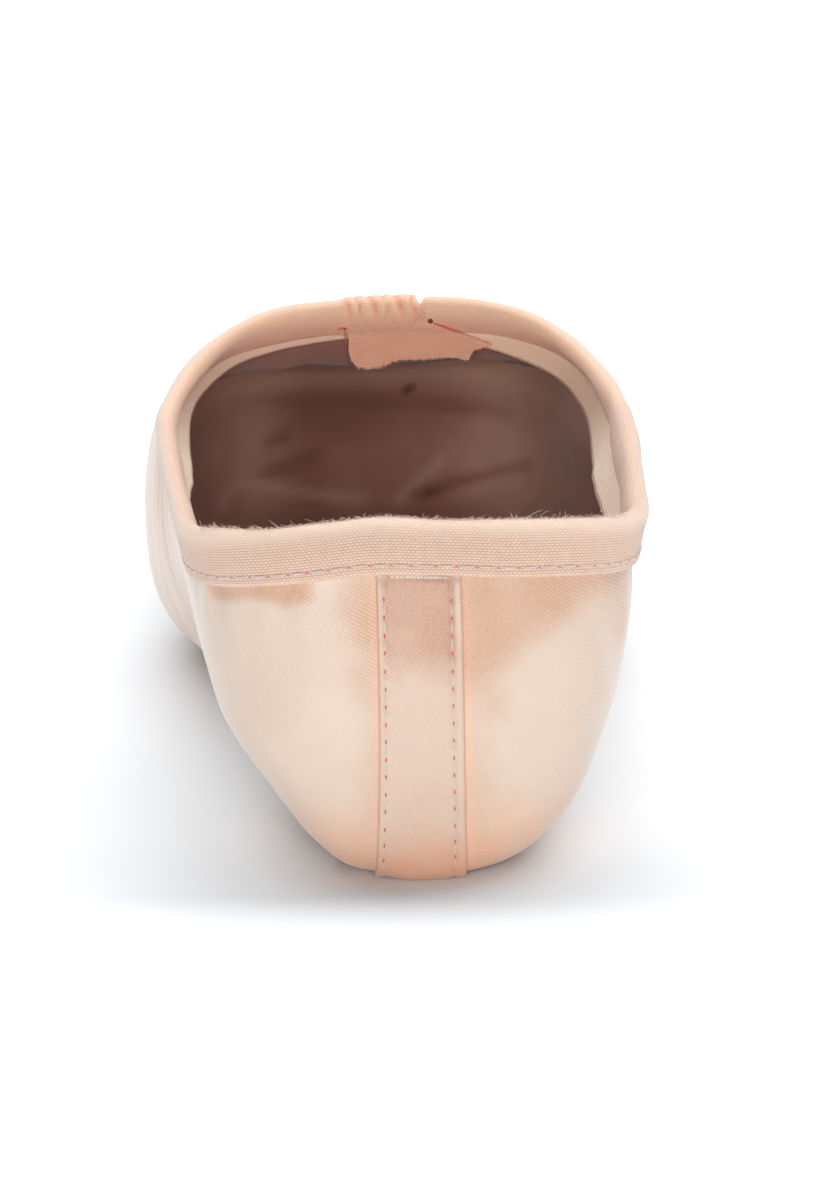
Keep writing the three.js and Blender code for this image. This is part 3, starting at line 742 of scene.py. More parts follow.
def patches(points, table, edges=()):
    """Painted values from 0 to 1 on the heel."""
    x, y, z = points[..., 0], points[..., 1], points[..., 2]
    tone = np.zeros(x.shape)
    uneven = ripple(points, 11, 11) + 0.5 * ripple(points, 4.5, 12)
    for patch in table:
        turn = math.radians(patch["turn"])
        dx, dz = x - patch["x"], z - patch["z"]
        across = (dx * math.cos(turn) + dz * math.sin(turn)) / patch["wide"]
        up = (dz * math.cos(turn) - dx * math.sin(turn)) / patch["high"]
        away = np.hypot(across, up) + uneven * patch["ragged"] * 0.5
        tone = layered(tone, patch["strength"], ease((1 + patch["soft"] - away) / (2 * patch["soft"])))
    for rim in edges:
        (x0, z0), (x1, z1) = rim["line"]
        over = z - z0 - (x - x0) * (z1 - z0) / (x1 - x0) + uneven * rim["ragged"]
        first, last = rim["span"]
        inside = ease((x - first) / 1.5) * ease((last - x) / 1.5)
        tone = layered(tone, rim["strength"], inside * ease(over / rim["soft"] + 0.5))
    return tone * ease((-60 - y) / 20)


SATIN_THICKNESS = 0.5
UPPER_COLUMNS = 430
UPPER_ROWS = 100
FOREFOOT_TONE = 0.3

points, normals, below, uv, turns = face_grid(UPPER_COLUMNS, UPPER_ROWS)
above = below.max(1, keepdims=True) - below
relief = satin_relief(points, below, above, turns)
relief *= ease((below - BINDING["outside"] + 2.2) / 2) * ease(above / 3)
upper_over = points + normals * relief[..., None]
upper_under = upper_over - normals * SATIN_THICKNESS
# Tone layer: painted shade on the heel, plus a darker forefoot colour. The second layer: painted warm
# reflection on the heel.
upper_tone = patches(points, HEEL_PAINTED_SHADE, HEEL_PAINTED_SHADE_EDGES) + FOREFOOT_TONE * ease((points[..., 1] + 50) / 50)
upper = add_shell("upper_satin", upper_over, upper_under, uv, SATIN, ring=True, tone=upper_tone,
                  blush=patches(points, HEEL_PAINTED_REFLECTION))
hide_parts("upper")

LINING_COLUMNS = 380
LINING_ROWS = 110
# Creases and marks of the lining in the toe. Points are x and z in mm. rise: ridge or trough height. tone:
# painted shade along a trough (above 0), painted highlight along a ridge (below 0).
TOE_CREASES = [
    {"line": [(-28.5, 9), (-27.4, 11.5), (-25, 12.8), (-13.5, 10.2), (-2.8, 7.9)], "rise": 0.5,
     "tone": -0.3},
    {"line": [(4.9, 7.7), (8.3, 11.5), (12, 15.3)], "rise": 0.6, "tone": -0.3},
    {"line": [(9.9, 8.5), (13.9, 10.8), (20, 12.3), (29, 15.4)], "rise": -0.5, "tone": 0.45},
    {"line": [(-19.5, 14.3), (-13.4, 15.6), (-10, 16.8)], "rise": -0.3, "tone": 0.3},
    {"line": [(7.8, 8.8), (10.8, 9.5)], "rise": -0.3, "tone": 0.35},
    {"line": [(-18.7, 19.8), (-15.6, 20.8)], "rise": -0.3, "tone": 0.3},
    {"line": [(-24.5, 28.4), (-8, 27.2), (6, 26.1), (26, 24.2)], "rise": -0.25, "tone": 0.2},
]
TOE_CREASE_WIDTH = {"rise": 0.9, "tone": 1.3}
PRICKS = [(6.2, 31.1), (6.6, 28.4)]
PRICK = {"tone": 1.1, "radius": 0.5}
TOE_FROM = 88
# Painted shade inside the forefoot: darker in the middle, lighter to the sides and the top, dark under the
# throat
TOE_PAINTED_SHADE = {"middle": 0.5, "side": 0.65, "top": 0.85, "lip": 0.8}


def line_distance(x, z, line):
    nearest = np.full(x.shape, np.inf)
    for (x0, z0), (x1, z1) in zip(line, line[1:]):
        dx, dz = x1 - x0, z1 - z0
        share = np.clip(((x - x0) * dx + (z - z0) * dz) / (dx * dx + dz * dz), 0, 1)
        nearest = np.minimum(nearest, np.hypot(x - x0 - share * dx, z - z0 - share * dz))
    return nearest


def toe_marks(points):
    """Relief of the creases inside the toe, their painted shade and highlight, the dark pricks, and
    painted shade across the forefoot's lining and under the throat.
    """
    x, y, z = points[..., 0], points[..., 1], points[..., 2]
    rise, tone = np.zeros(x.shape), np.zeros(x.shape)
    for crease in TOE_CREASES:
        near = line_distance(x, z, crease["line"])
        rise += crease["rise"] * np.exp(-(near / TOE_CREASE_WIDTH["rise"]) ** 2)
        tone += crease["tone"] * np.exp(-(near / TOE_CREASE_WIDTH["tone"]) ** 2)
    for px, pz in PRICKS:
        tone += PRICK["tone"] * np.exp(-(np.hypot(x - px, z - pz) / PRICK["radius"]) ** 4)
    in_toe = ease((y - TOE_FROM) / 8)
    right, left = ease((x - 8) / 20), ease((-8 - x) / 16)
    shade = TOE_PAINTED_SHADE["middle"] - TOE_PAINTED_SHADE["side"] * right - TOE_PAINTED_SHADE["side"] * left
    shade = shade - TOE_PAINTED_SHADE["top"] * ease((z - 25) / 10)
    lip = ease((z - 44) / 5) * ease((y + 5) / 12)
    tone = tone * in_toe + shade * ease((y - 40) / 20) * (1 - lip) + TOE_PAINTED_SHADE["lip"] * lip
    return rise * in_toe, tone


points, normals, below, uv, turns = face_grid(LINING_COLUMNS, LINING_ROWS)
wall = wall_at(points[..., 1])[..., None]
mark_rise, mark_tone = toe_marks(points)
soft = 0.25 * ripple(points, 30, 21) + 0.12 * ripple(points, 9, 22)
soft = (np.minimum(soft, 0.3) + mark_rise)[..., None] * ease((below[..., None] - 8) / 10)
lining_face = points - normals * (wall + np.maximum(soft, -0.3))
lining_back = points - normals * np.minimum(wall - 0.35, 0.9)
lining = add_shell("lining", lining_back, lining_face, uv, LINING, ring=True, tone=mark_tone)


# Collar pieces share one ring of ribs at even steps along the collar

COLLAR_COLUMNS = 760
collar_turns, collar_run = evenly_round(COLLAR_COLUMNS, 1.0)
collar_paths = [rib_path(rib(turn)) for turn in collar_turns]


def collar_rows(depths):
    """Points and normals at distances below the collar, for every rib of the collar ring."""
    rows = np.zeros((len(collar_turns), len(depths), 3))
    for i, path in enumerate(collar_paths):
        rows[i] = points_at(path, lengths_along(path)[-1] - np.asarray(depths))
    return rows, grid_normals(rows, True) * np.sign(depths[0] - depths[-1])


def ring_uv(across):
    made = np.zeros((len(collar_turns) + 1, len(across), 2))
    made[..., 0] = collar_run[:, None]
    made[..., 1] = across
    return made


STITCH = {"pitch": 3.0, "visible": 2.2, "radius": 0.15, "above_hem": 1.5, "lift": 0.1,
          "prick_radius": 0.1}
LEG_DEPTHS = np.array([6.4, 6.15, 5.7, 5.3, 4.9, 4.5, 4.1, 3.6, 3.0, 2.4, 1.8, 1.2, 0.6, 0.0])
LEG_LIFTS = np.array([0.45, 0.78, 0.9, 0.88, 0.8, 0.86, 0.92, 0.97, 1.0, 1.02, 1.03, 1.03, 1.03, 1.03])
CROWN_STEPS = 12
INNER_DEPTHS = np.array([0.6, 1.3, 2.0, 2.7, 3.4, 3.9, 4.2])
INNER_LIFTS = np.array([1.03, 1.02, 0.98, 0.9, 0.8, 0.68, 0.5])
# Drawn-up folds at the throat. from, to, notch: places across it. skew: how far a fold slants per mm.
GATHER = {"from": -8, "to": 7, "pitch": 2.3, "depth": 0.14, "notch": 6, "skew": -0.35, "swell": 0.35}

leg, leg_normals = collar_rows(LEG_DEPTHS)
inner, inner_normals = collar_rows(INNER_DEPTHS)
edge, edge_normal = leg[:, -1], leg_normals[:, -1]
edge_up = unit(leg[:, -1] - leg[:, -2])
edge_wall = wall_at(edge[:, 1])[:, None]
radius = edge_wall / 2 + LEG_LIFTS[-1]
crown, crown_out = [], []
for k in range(1, CROWN_STEPS):
    a = k / CROWN_STEPS * math.pi
    lift = (radius + BINDING["crown"]) * math.sin(a)
    crown.append(edge + edge_normal * (radius * math.cos(a) - edge_wall / 2) + edge_up * lift)
    crown_out.append(edge_normal * math.cos(a) + edge_up * math.sin(a))
inner_wall = wall_at(inner[..., 1])[..., None]
tape_face = np.concatenate([
    leg + leg_normals * LEG_LIFTS[None, :, None],
    np.stack(crown, 1),
    inner - inner_normals * (inner_wall + INNER_LIFTS[None, :, None]),
], 1)
tape_out = np.concatenate([leg_normals, np.stack(crown_out, 1), -inner_normals], 1)
tape_across = np.concatenate([[0], np.cumsum(np.linalg.norm(np.diff(tape_face, axis=1), axis=2).mean(0))])
CROWN_FROM = tape_across[len(LEG_DEPTHS) - 1]
CROWN_TO = tape_across[len(LEG_DEPTHS) + CROWN_STEPS - 2]


def gather_waves():
    """Small slanting folds where the cord inside the binding is drawn up at the throat, and painted coral
    shade in their troughs on the crown.
    """
    x, y = edge[:, :1], edge[:, 1:2]
    at_throat = ease((y - 8) / 5)
    inside = ease((x - GATHER["from"]) / 2.5) * ease((GATHER["to"] - x) / 2.5) * at_throat
    slant = GATHER["skew"] * (tape_across[None] - tape_across.mean())
    folds = np.sin(2 * np.pi * (x + slant) / GATHER["pitch"] + 0.8 * np.sin(x * 1.3))
    notch = -1.3 * np.exp(-((x - GATHER["notch"]) / 0.6) ** 2) * at_throat
    upper_part = ease((tape_across[None] - 4) / 3)
    waves = (GATHER["depth"] * folds + GATHER["swell"]) * inside + notch
    on_crown = ease((tape_across[None] - CROWN_FROM) / 2) * ease((CROWN_TO + 1 - tape_across[None]) / 2)
    return waves * upper_part, np.maximum(0, -folds) ** 2 * inside * on_crown


# Fold relief, and painted coral shade in the fold troughs
waves, coral_fold_shade = gather_waves()


def tape_paint():
    """Painted light on the binding: a painted highlight on the paler outer face along the sides, painted
    warm reflection on the inner face, painted warm shade toward its hem at the throat, and a painted
    highlight along the top at the heel.
    """
    y = edge[:, 1:2]
    off_heel = ease((y + 98) / 16)
    middle = (CROWN_FROM + CROWN_TO) / 2
    outer = ease((middle + 1.2 - tape_across[None]) / 3)
    at_throat = ease((y + 30) / 40)
    top_highlight = np.exp(-((tape_across[None] - middle + 1.4) / 1.5) ** 2) * (1 - off_heel)
    to_hem = ease((tape_across[None] - CROWN_TO + 1) / (tape_across[-1] - CROWN_TO))
    return {
        "outer_highlight": 0.75 * off_heel * outer,
        "top_highlight": 0.65 * top_highlight,
        "warm": (1 - outer) * off_heel * (0.12 + 0.78 * at_throat),
        "peach_shade": 0.9 * to_hem * at_throat,
    }


uneven = 0.1 * ripple(edge, 14, 31)[:, None]
tape_face = tape_face + tape_out * (waves + uneven)[..., None]
closing = np.stack([
    inner[:, -1] - inner_normals[:, -1] * (inner_wall[:, -1] + 0.1),
    edge - edge_normal * (edge_wall + 0.1),
    edge + edge_normal * 0.1,
    leg[:, 0] + leg_normals[:, 0] * 0.12,
], 1)
tape_points = np.concatenate([tape_face, closing], 1)
hidden = np.zeros(closing.shape[:2])
tape_paints = {"coral_fold_shade": coral_fold_shade * 0.75, **tape_paint()}
tape_paints = {layer: np.concatenate([values, hidden], 1) for layer, values in tape_paints.items()}
closing_across = tape_across[-1] + np.arange(1, closing.shape[1] + 2)
tape_uv = ring_uv(np.append(tape_across, closing_across))
binding = add_tube_ring("collar_binding_tape", tape_points, tape_uv, TAPE, **tape_paints)
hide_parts("collar_binding")


def along_collar(values, run):
    """Values of the collar ring at a distance along it."""
    closed = np.concatenate([values, values[:1]])
    at = np.mod(run, collar_run[-1])
    return np.stack([np.interp(at, collar_run, closed[:, i]) for i in range(3)], -1)


stitch_rng = np.random.default_rng(41)


def stitch_row(line, normal, starts, visible, look_up, lift):
    """Threads of a running stitch, sunk at both ends, and the darker pricks between them."""
    threads, pricks = [], []
    share = np.linspace(0, 1, 7)
    for start, following in zip(starts, starts[1:]):
        lead = start + stitch_rng.normal(0, 0.05)
        at = lead + share * visible
        n = unit(look_up(normal, at))
        sunk = lift - 0.24 * (2 * share - 1) ** 4 + stitch_rng.normal(0, 0.015)
        threads.append(look_up(line, at) + n * sunk[:, None])
        gap = lead + visible + np.linspace(0.1, 0.9, 4) * (following - start - visible)
        n = unit(look_up(normal, gap))
        pricks.append(look_up(line, gap) + n * np.array([-0.05, 0.04, 0.04, -0.05])[:, None])
    return threads, pricks


STITCH_ROW = int(np.argmin(np.abs(LEG_DEPTHS - (BINDING["outside"] - STITCH["above_hem"]))))
binding_starts = np.arange(0, collar_run[-1], STITCH["pitch"])
threads, pricks = stitch_row(tape_face[:, STITCH_ROW], leg_normals[:, STITCH_ROW], binding_starts,
                             STITCH["visible"], along_collar, STITCH["lift"])
add_tubes("binding_stitches", threads, [STITCH["radius"]] * len(threads), PALE_THREAD)
add_tubes("binding_stitch_pricks", pricks, [STITCH["prick_radius"]] * len(pricks), ROSE_THREAD)

# Cream facing under the binding, inside. share: place along the collar ring, from the heel back over the
# right side and the throat. width: how far it shows. lean: how far its lower edge stands off the wall.
FACING_TABLE = {
    "share": (0, 0.1, 0.25, 0.36, 0.4, 0.42, 0.44, 0.47, 0.5, 0.53, 0.56, 0.6, 0.65, 0.7, 0.78, 0.88,
              0.95, 1),
    "width": (3, 4, 5, 5.5, 5.2, 4.4, 3.4, 1.6, 0.9, 1.8, 2, 2.8, 3.6, 2.8, 1.2, 0.7, 0.8, 3),
    "lean": (0.6, 1.6, 2.6, 3.2, 3.2, 2.6, 1.8, 0.6, 0.3, 0.3, 0.7, 2.1, 2.7, 1.6, 0.2, 0, 0.2, 0.6),
}
FACING_ROWS = 8
FACING_TUCK = 1.2
share = collar_run[:-1] / collar_run[-1]
widths = np.interp(share, FACING_TABLE["share"], FACING_TABLE["width"])
leans = np.interp(share, FACING_TABLE["share"], FACING_TABLE["lean"])
facing_depths = np.linspace(1, 0, FACING_ROWS)
facing_on = np.zeros((len(collar_turns), FACING_ROWS, 3))
for i, path in enumerate(collar_paths):
    depth = BINDING["inside"] - FACING_TUCK + facing_depths * (widths[i] + FACING_TUCK)
    facing_on[i] = points_at(path, lengths_along(path)[-1] - depth)
facing_normals = grid_normals(facing_on, True)
facing_off = wall_at(facing_on[..., 1]) + leans[:, None] * facing_depths[None] ** 1.2
facing_off = facing_off + 0.1 * ripple(facing_on, 12, 35) * facing_depths[None]
facing_face = facing_on - facing_normals * (facing_off + 0.36)[..., None]
facing_back = facing_on - facing_normals * facing_off[..., None]
facing_uv = ring_uv(4 * (1 - facing_depths))
# Painted warm reflection on the facing, growing toward the throat
facing_warm = 0.85 * ease((facing_on[..., 1] + 12) / 30)
facing = add_shell("collar_facing", facing_back, facing_face, facing_uv, FACING, ring=True,
                   warm=facing_warm)


# Heel strip over the back seam

STRIP = {"columns": 65, "rows": 130, "fold": 1.5, "rise": 0.42, "fold_rise": 0.26, "top_tuck": 0.25,
         "foot": 0.6, "floor": 0.05, "drift": -0.7, "edge_round": 0.55, "edge_blush": 0.9,
         "thinned": 1.4}
STRIP_STITCHES = {"left": -5.2, "right": 4.8, "pitch": 2.65, "visible": 1.75, "from": 3,
                  "lift": 0.03, "radius": 0.11, "prick_radius": 0.14}
STRIP_FLARE = 0.5
FAN_SPREAD = 0.7
# Painted shade on the strip: a darker spot and a darker top under the binding. Painted warm reflection at
# its bottom, where it turns under the heel.
STRIP_PAINTED_SHADE = [spot(x=2.5, z=36, wide=3, high=5, strength=0.3, soft=0.9, turn=15)]
STRIP_PAINTED_SHADE_EDGES = [{"line": ((-6, 36), (6, 34)), "span": (-6.2, 6), "strength": 0.8, "soft": 14, "ragged": 2}]
STRIP_PAINTED_REFLECTION = [spot(x=0, z=-2, wide=12, high=8.5, strength=0.9, soft=0.6, ragged=0.1)]


def strip_surface():
    """Points and normals of the heel under the strip, and their place across it."""
    fan = []
    for angle in np.linspace(-FAN_SPREAD, FAN_SPREAD, 100):
        made = heel_rib(abs(angle))
        made["side"] = 1 if angle >= 0 else -1
        path = rib_path(made)
        total = lengths_along(path)[-1]
        low = LASTING_MARGIN["heel"] + STRIP["foot"]
        high = total - BINDING["outside"] + STRIP["top_tuck"]
        fan.append(points_at(path, np.linspace(low, high, STRIP["rows"])))
    fan = np.array(fan)
    fan_normals = grid_normals(fan, False)
    x = STRIP_WIDTH / 2 * np.sin(np.linspace(-math.pi / 2, math.pi / 2, STRIP["columns"]))
    on = np.zeros((len(x), STRIP["rows"], 3))
    normal = np.zeros_like(on)
    for j in range(STRIP["rows"]):
        low_share = 1 - j / (STRIP["rows"] - 1)
        flare = 1 + STRIP_FLARE * low_share ** 3 / STRIP_WIDTH * 2
        wide = x * flare + STRIP["drift"] * low_share ** 2
        for c in range(3):
            on[:, j, c] = np.interp(wide, fan[:, j, 0], fan[:, j, c])
            normal[:, j, c] = np.interp(wide, fan[:, j, 0], fan_normals[:, j, c])
    return x, on, unit(normal)


strip_x, strip_on, strip_normal = strip_surface()
strip_run = lengths_along(strip_on[len(strip_x) // 2])
from_edge = (STRIP_WIDTH / 2 - np.abs(strip_x))[:, None]
folded = STRIP["fold_rise"] * ease((STRIP["fold"] + 0.25 - from_edge) / 0.5)
rounded = np.sqrt(1 - (1 - np.clip(from_edge / STRIP["edge_round"], 0, 1)) ** 2)
thinned = 1 - 0.7 * ease((strip_run - strip_run[-1]) / STRIP["thinned"] + 1)
seam = np.zeros((len(strip_x), STRIP["rows"]))
for place in (STRIP_STITCHES["left"], STRIP_STITCHES["right"]):
    pull = 0.2 + 0.08 * np.cos(2 * np.pi * strip_run[None] / STRIP_STITCHES["pitch"])
    seam += pull * np.exp(-((strip_x[:, None] - place) / 0.45) ** 2)
strip_wave = 0.1 * ripple(strip_on, 9, 51) + 0.05 * ripple(strip_on, 4, 52)
edge_wave = 1 + 0.25 * ripple(strip_on, 3.2, 53) * np.exp(-from_edge / 1.5)
strip_lift = (STRIP["rise"] + folded * edge_wave + strip_wave - seam) * rounded * thinned[None] + 0.06
# Painted warm reflection along the strip's edges and at its bottom
edge_blush = STRIP["edge_blush"] * ease(1 - from_edge / STRIP["edge_round"])
strip_blush = np.maximum(patches(strip_on, STRIP_PAINTED_REFLECTION), edge_blush)
strip_uv = np.zeros((len(strip_x), STRIP["rows"], 2))
strip_uv[..., 0] = strip_x[:, None] * 1.02 + 3
strip_uv[..., 1] = strip_run[None]
strip_over = strip_on + strip_normal * strip_lift[..., None]
strip_over[..., 2] = np.maximum(strip_over[..., 2], STRIP["floor"])
strip_under = strip_on + strip_normal * 0.04
strip_under[..., 2] = np.maximum(strip_under[..., 2], STRIP["floor"])
heel_strip = add_shell("heel_strip_satin", strip_over, strip_under, strip_uv, STRIP_SATIN,
                       tone=patches(strip_on, STRIP_PAINTED_SHADE, STRIP_PAINTED_SHADE_EDGES), blush=strip_blush)
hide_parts("heel_strip")


def along_strip(values, run):
    return np.stack([np.interp(run, strip_run, values[:, i]) for i in range(3)], -1)


strip_threads, strip_pricks = [], []
for place in (STRIP_STITCHES["left"], STRIP_STITCHES["right"]):
    column = int(np.argmin(np.abs(strip_x - place)))
    starts = np.arange(STRIP_STITCHES["from"], strip_run[-1] - 1, STRIP_STITCHES["pitch"])
    threads, pricks = stitch_row(strip_over[column], strip_normal[column], starts,
                                 STRIP_STITCHES["visible"], along_strip, STRIP_STITCHES["lift"])
    strip_threads += threads
    strip_pricks += pricks
add_tubes("strip_stitches", strip_threads, [STRIP_STITCHES["radius"]] * len(strip_threads), PALE_THREAD)
add_tubes("strip_stitch_pricks", strip_pricks, [STRIP_STITCHES["prick_radius"]] * len(strip_pricks),
          CORAL_THREAD)


def on_strip(x, up):
    """Point of the strip's face at a place across it and a height z."""
    column = int(np.argmin(np.abs(strip_x - x)))
    line = strip_over[column]
    at = np.array([np.interp(up, line[:, 2], line[:, i]) for i in range(3)])
    return at + np.array([0, -0.06, 0])


# Raw top edge of the strip and a pulled thread below it
RAW_EDGE = {"from": -4, "to": 4.2, "threads": 90, "length": 0.75, "radius": 0.07}
PULLED_THREAD = {"x": (-1.9, -2.3, -2.8), "drop": (1.2, 2.4, 3.9), "radius": 0.09}
raw_threads = []
for x in np.linspace(RAW_EDGE["from"], RAW_EDGE["to"], RAW_EDGE["threads"]):
    column = int(np.argmin(np.abs(strip_x - x)))
    top = strip_over[column, -2] + np.array([stitch_rng.normal(0, 0.08), -0.12, 0])
    sway = stitch_rng.normal(0, 0.15)
    length = RAW_EDGE["length"] * stitch_rng.uniform(0.5, 1.2)
    raw_threads.append(top + np.linspace(-0.7, 0.35, 4)[:, None] * np.array([sway, -0.05, length]))
strip_top = strip_over[len(strip_x) // 2, -1, 2]
pulled = [on_strip(x, strip_top - drop) for x, drop in zip(PULLED_THREAD["x"], PULLED_THREAD["drop"])]
raw_radii = [RAW_EDGE["radius"]] * len(raw_threads) + [PULLED_THREAD["radius"]]
add_tubes("strip_raw_edge", raw_threads + [pulled], raw_radii, FUZZ, sides=4)


# Raw end of the binding inside the throat. x: across the throat. drop: lower edge below the hem.
TAB_EDGE = {
    "x": (-5.9, -5.4, -4.6, -3, -0.6, 0.6, 2.5, 7, 11, 12.4, 13.6, 14.3, 15.2, 17.1),
    "drop": (3.2, 5, 5.9, 6.3, 6.1, 5.5, 5, 4.8, 4.5, 4.6, 4.9, 3.2, 2.6, 1.8),
}
TAB = {"columns": 110, "rows": 26, "lean": 0.3, "thickness": 0.45, "spike_from": 11.8, "spike_slope": 0.3,
       "tuck": 2.6, "proud": 0.3, "sunk": 0.35, "rise": 1.8}
FRINGE = {"shortest": 0.1, "longest": 0.4, "sway": 0.15, "radius": 0.06}


def throat_turns(x_values):
    turns = np.linspace(0.5, 1.5, 500)
    ends = np.array([r["side"] * r["collar"][0] for r in map(rib, turns)])
    return np.interp(-np.asarray(x_values), -ends, turns)


def throat_line(x_values, depth):
    """Points of the last at a depth below the collar, by distance across the throat."""
    points = []
    for turn in throat_turns(x_values):
        path = rib_path(rib(turn))
        points.append(points_at(path, [lengths_along(path)[-1] - depth])[0])
    return np.array(points)


def leg_end(x_values):
    """Middle of the lower end of the binding's inside leg, by distance across the throat."""
    hem = throat_line(x_values, BINDING["inside"])
    up = unit(throat_line(x_values, 0) - hem)
    out = np.stack([np.zeros(len(hem)), up[:, 2], -up[:, 1]], 1)
    return hem - out * (wall_at(hem[:, 1]) + SEAT_GAP + BINDING["tape"] / 2)[:, None]


tab_x = np.linspace(TAB_EDGE["x"][0], TAB_EDGE["x"][-1], TAB["columns"])
hem = leg_end(tab_x)
hem_up = unit(throat_line(tab_x, 0) - throat_line(tab_x, BINDING["inside"]))
ragged = 0.06 * stitch_rng.normal(size=len(tab_x)) + 0.1 * np.sin(tab_x * 4.1) + 0.08 * np.sin(tab_x * 9.7)
spike = np.maximum(0, tab_x - TAB["spike_from"]) * TAB["spike_slope"]
tab_drop = np.maximum(np.interp(tab_x, TAB_EDGE["x"], TAB_EDGE["drop"]) + ragged, spike + 0.15)
top_drop = np.where(spike > 0, spike, -TAB["tuck"] * ease((TAB["spike_from"] - tab_x) / 5))
down = lerp(top_drop[:, None], tab_drop[:, None], np.linspace(0, 1, TAB["rows"])[None])
tab_points = np.zeros((TAB["columns"], TAB["rows"], 3))
tab_points[..., 0] = tab_x[:, None]
tab_points[..., 1] = hem[:, 1][:, None] + down * np.where(down > 0, TAB["lean"], -hem_up[:, 1][:, None])
tab_points[..., 2] = hem[:, 2][:, None] - down * np.where(down > 0, 1, hem_up[:, 2][:, None])
proud = lerp(-TAB["sunk"], TAB["proud"], ease((down + TAB["tuck"]) / TAB["rise"]))
tab_points[..., 1] -= proud * hem_up[:, 2][:, None]
tab_points[..., 2] += proud * hem_up[:, 1][:, None]
curl = 0.3 * np.sin(tab_x * 0.75)[:, None] * down / 8 + 0.12 * ripple(tab_points, 5, 61)
tab_points[..., 1] += curl * ease(down / 2)
tab_normals = grid_normals(tab_points, False)
tab_uv = np.stack([np.broadcast_to(tab_x[:, None], down.shape), down], -1)
tab = add_shell("throat_tab_cloth", tab_points + tab_normals * TAB["thickness"] / 2,
                tab_points - tab_normals * TAB["thickness"] / 2, tab_uv, RAW_TAPE)
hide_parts("throat_tab")

fringe = []
for end in tab_points[:, -1]:
    length = stitch_rng.uniform(FRINGE["shortest"], FRINGE["longest"])
    sway = stitch_rng.normal(0, FRINGE["sway"])
    fringe.append(end + np.linspace(-0.5, 1, 4)[:, None] * np.array([sway, 0.05, -length]))
tab_fringe = add_tubes("tab_fringe", fringe, [FRINGE["radius"]] * len(fringe), RAW_TAPE, sides=4)


# Thread ends and knots at the throat. x: across the throat. down: below the collar edge, inside.
TAILS = [
    {"x": (-6.2, -6.1, -6.0, -5.9), "down": (2.2, 3.4, 4.8, 5.8), "radius": 0.13},
    {"x": (-7.4, -6.6, -5.8), "down": (2.3, 2.0, 2.2), "radius": 0.2},
    {"x": (7.8, 9.2, 10.6, 11.8), "down": (1.5, 2.2, 3.0, 3.8), "radius": 0.2},
]
KNOTS = [{"x": -6.3, "down": 2.1, "radius": 0.22}, {"x": 7.4, "down": 1, "radius": 0.45}]


def throat_point(x, down):
    """Point just inside the binding or the tab below it."""
    end = leg_end([x])[0]
    below = down - BINDING["inside"]
    if below > 0:
        return end + np.array([0, below * TAB["lean"] - 0.75, -below])
    up = unit(throat_line([x], 0)[0] - throat_line([x], BINDING["inside"])[0])
    return end - up * below - np.array([0, up[2], -up[1]]) * 0.6


tails = [np.array([throat_point(x, d) for x, d in zip(t["x"], t["down"])]) for t in TAILS]
add_tubes("throat_thread_tails", tails, [t["radius"] for t in TAILS], CORAL_THREAD)
knots = [throat_point(k["x"], k["down"]) + np.array([[0, 0.3, 0], [0, 0, 0], [0, -0.3, 0]]) for k in KNOTS]
add_tubes("throat_knots", knots, [k["radius"] for k in KNOTS], DARK_THREAD, sides=8)


# Insole and outsole

def blunt(inside, length, exponent):
    if inside >= length:
        return 1.0
    return power(1 - (1 - inside / length) ** exponent, 1 / exponent)


def plate_half(y, ends, extra):
    heel_end = blunt(y - ends["heel"], ends["heel_round"], ends["roundness"])
    toe_end = blunt(ends["toe"] - y, ends["toe_round"], ends["roundness"])
    return (base_half(y) + extra) * max(0.02, min(heel_end, toe_end))


PLATE_COLUMNS = 150
PLATE_ROWS = 41


def plate_places(ends, extra):
    """Plan points of a flat piece, heel end to toe end, and their distance from its edge."""
    share = (1 - np.cos(np.linspace(0, np.pi, PLATE_COLUMNS))) / 2
    y = lerp(ends["heel"], ends["toe"], share)
    half = np.array([plate_half(v, ends, extra(v)) for v in y])
    across = np.sin(np.linspace(-np.pi / 2, np.pi / 2, PLATE_ROWS))
    x = half[:, None] * across[None]
    x = x * (1 - heel_tuck(x, y[:, None] - MIDDLE, 0))
    ends_near = np.minimum(y - ends["heel"], ends["toe"] - y)[:, None]
    from_rim = np.minimum(half[:, None] * (1 - np.abs(across[None])), ends_near)
    return x, np.broadcast_to(y[:, None], x.shape), from_rim


def inside_floor(x, y):
    """Height of the lining above the flat bottom, rising beside it as the upper does."""
    base = np.array([base_half(v) for v in y[:, 0]])[:, None]
    beyond = np.maximum(0, np.abs(x) - base)
    return underside_height(y) + wall_at(y - MIDDLE) + SEAT_GAP + 0.035 * beyond ** 2


# Creases of the insole cloth. x, y: middle in mm from the heel back. turn: degrees from across.
INSOLE_CREASES = [
    {"x": -9, "y": 46, "long": 9, "turn": 38, "bow": 0.05, "depth": 0.5},
    {"x": 7, "y": 52, "long": 8, "turn": -30, "bow": -0.04, "depth": 0.45},
    {"x": 0, "y": 92, "long": 12, "turn": 8, "bow": 0.02, "depth": 0.5},
    {"x": -8, "y": 120, "long": 11, "turn": -14, "bow": 0.03, "depth": 0.55},
    {"x": 10, "y": 138, "long": 10, "turn": 20, "bow": -0.03, "depth": 0.45},
]
INSOLE_CREASE_WIDTH = 1.3
INSOLE_EDGE = {"drop": 0.7, "round": 1.2}
# Painted shade over the whole insole, deep inside the shoe
INSOLE_PAINTED_SHADE = 0.6

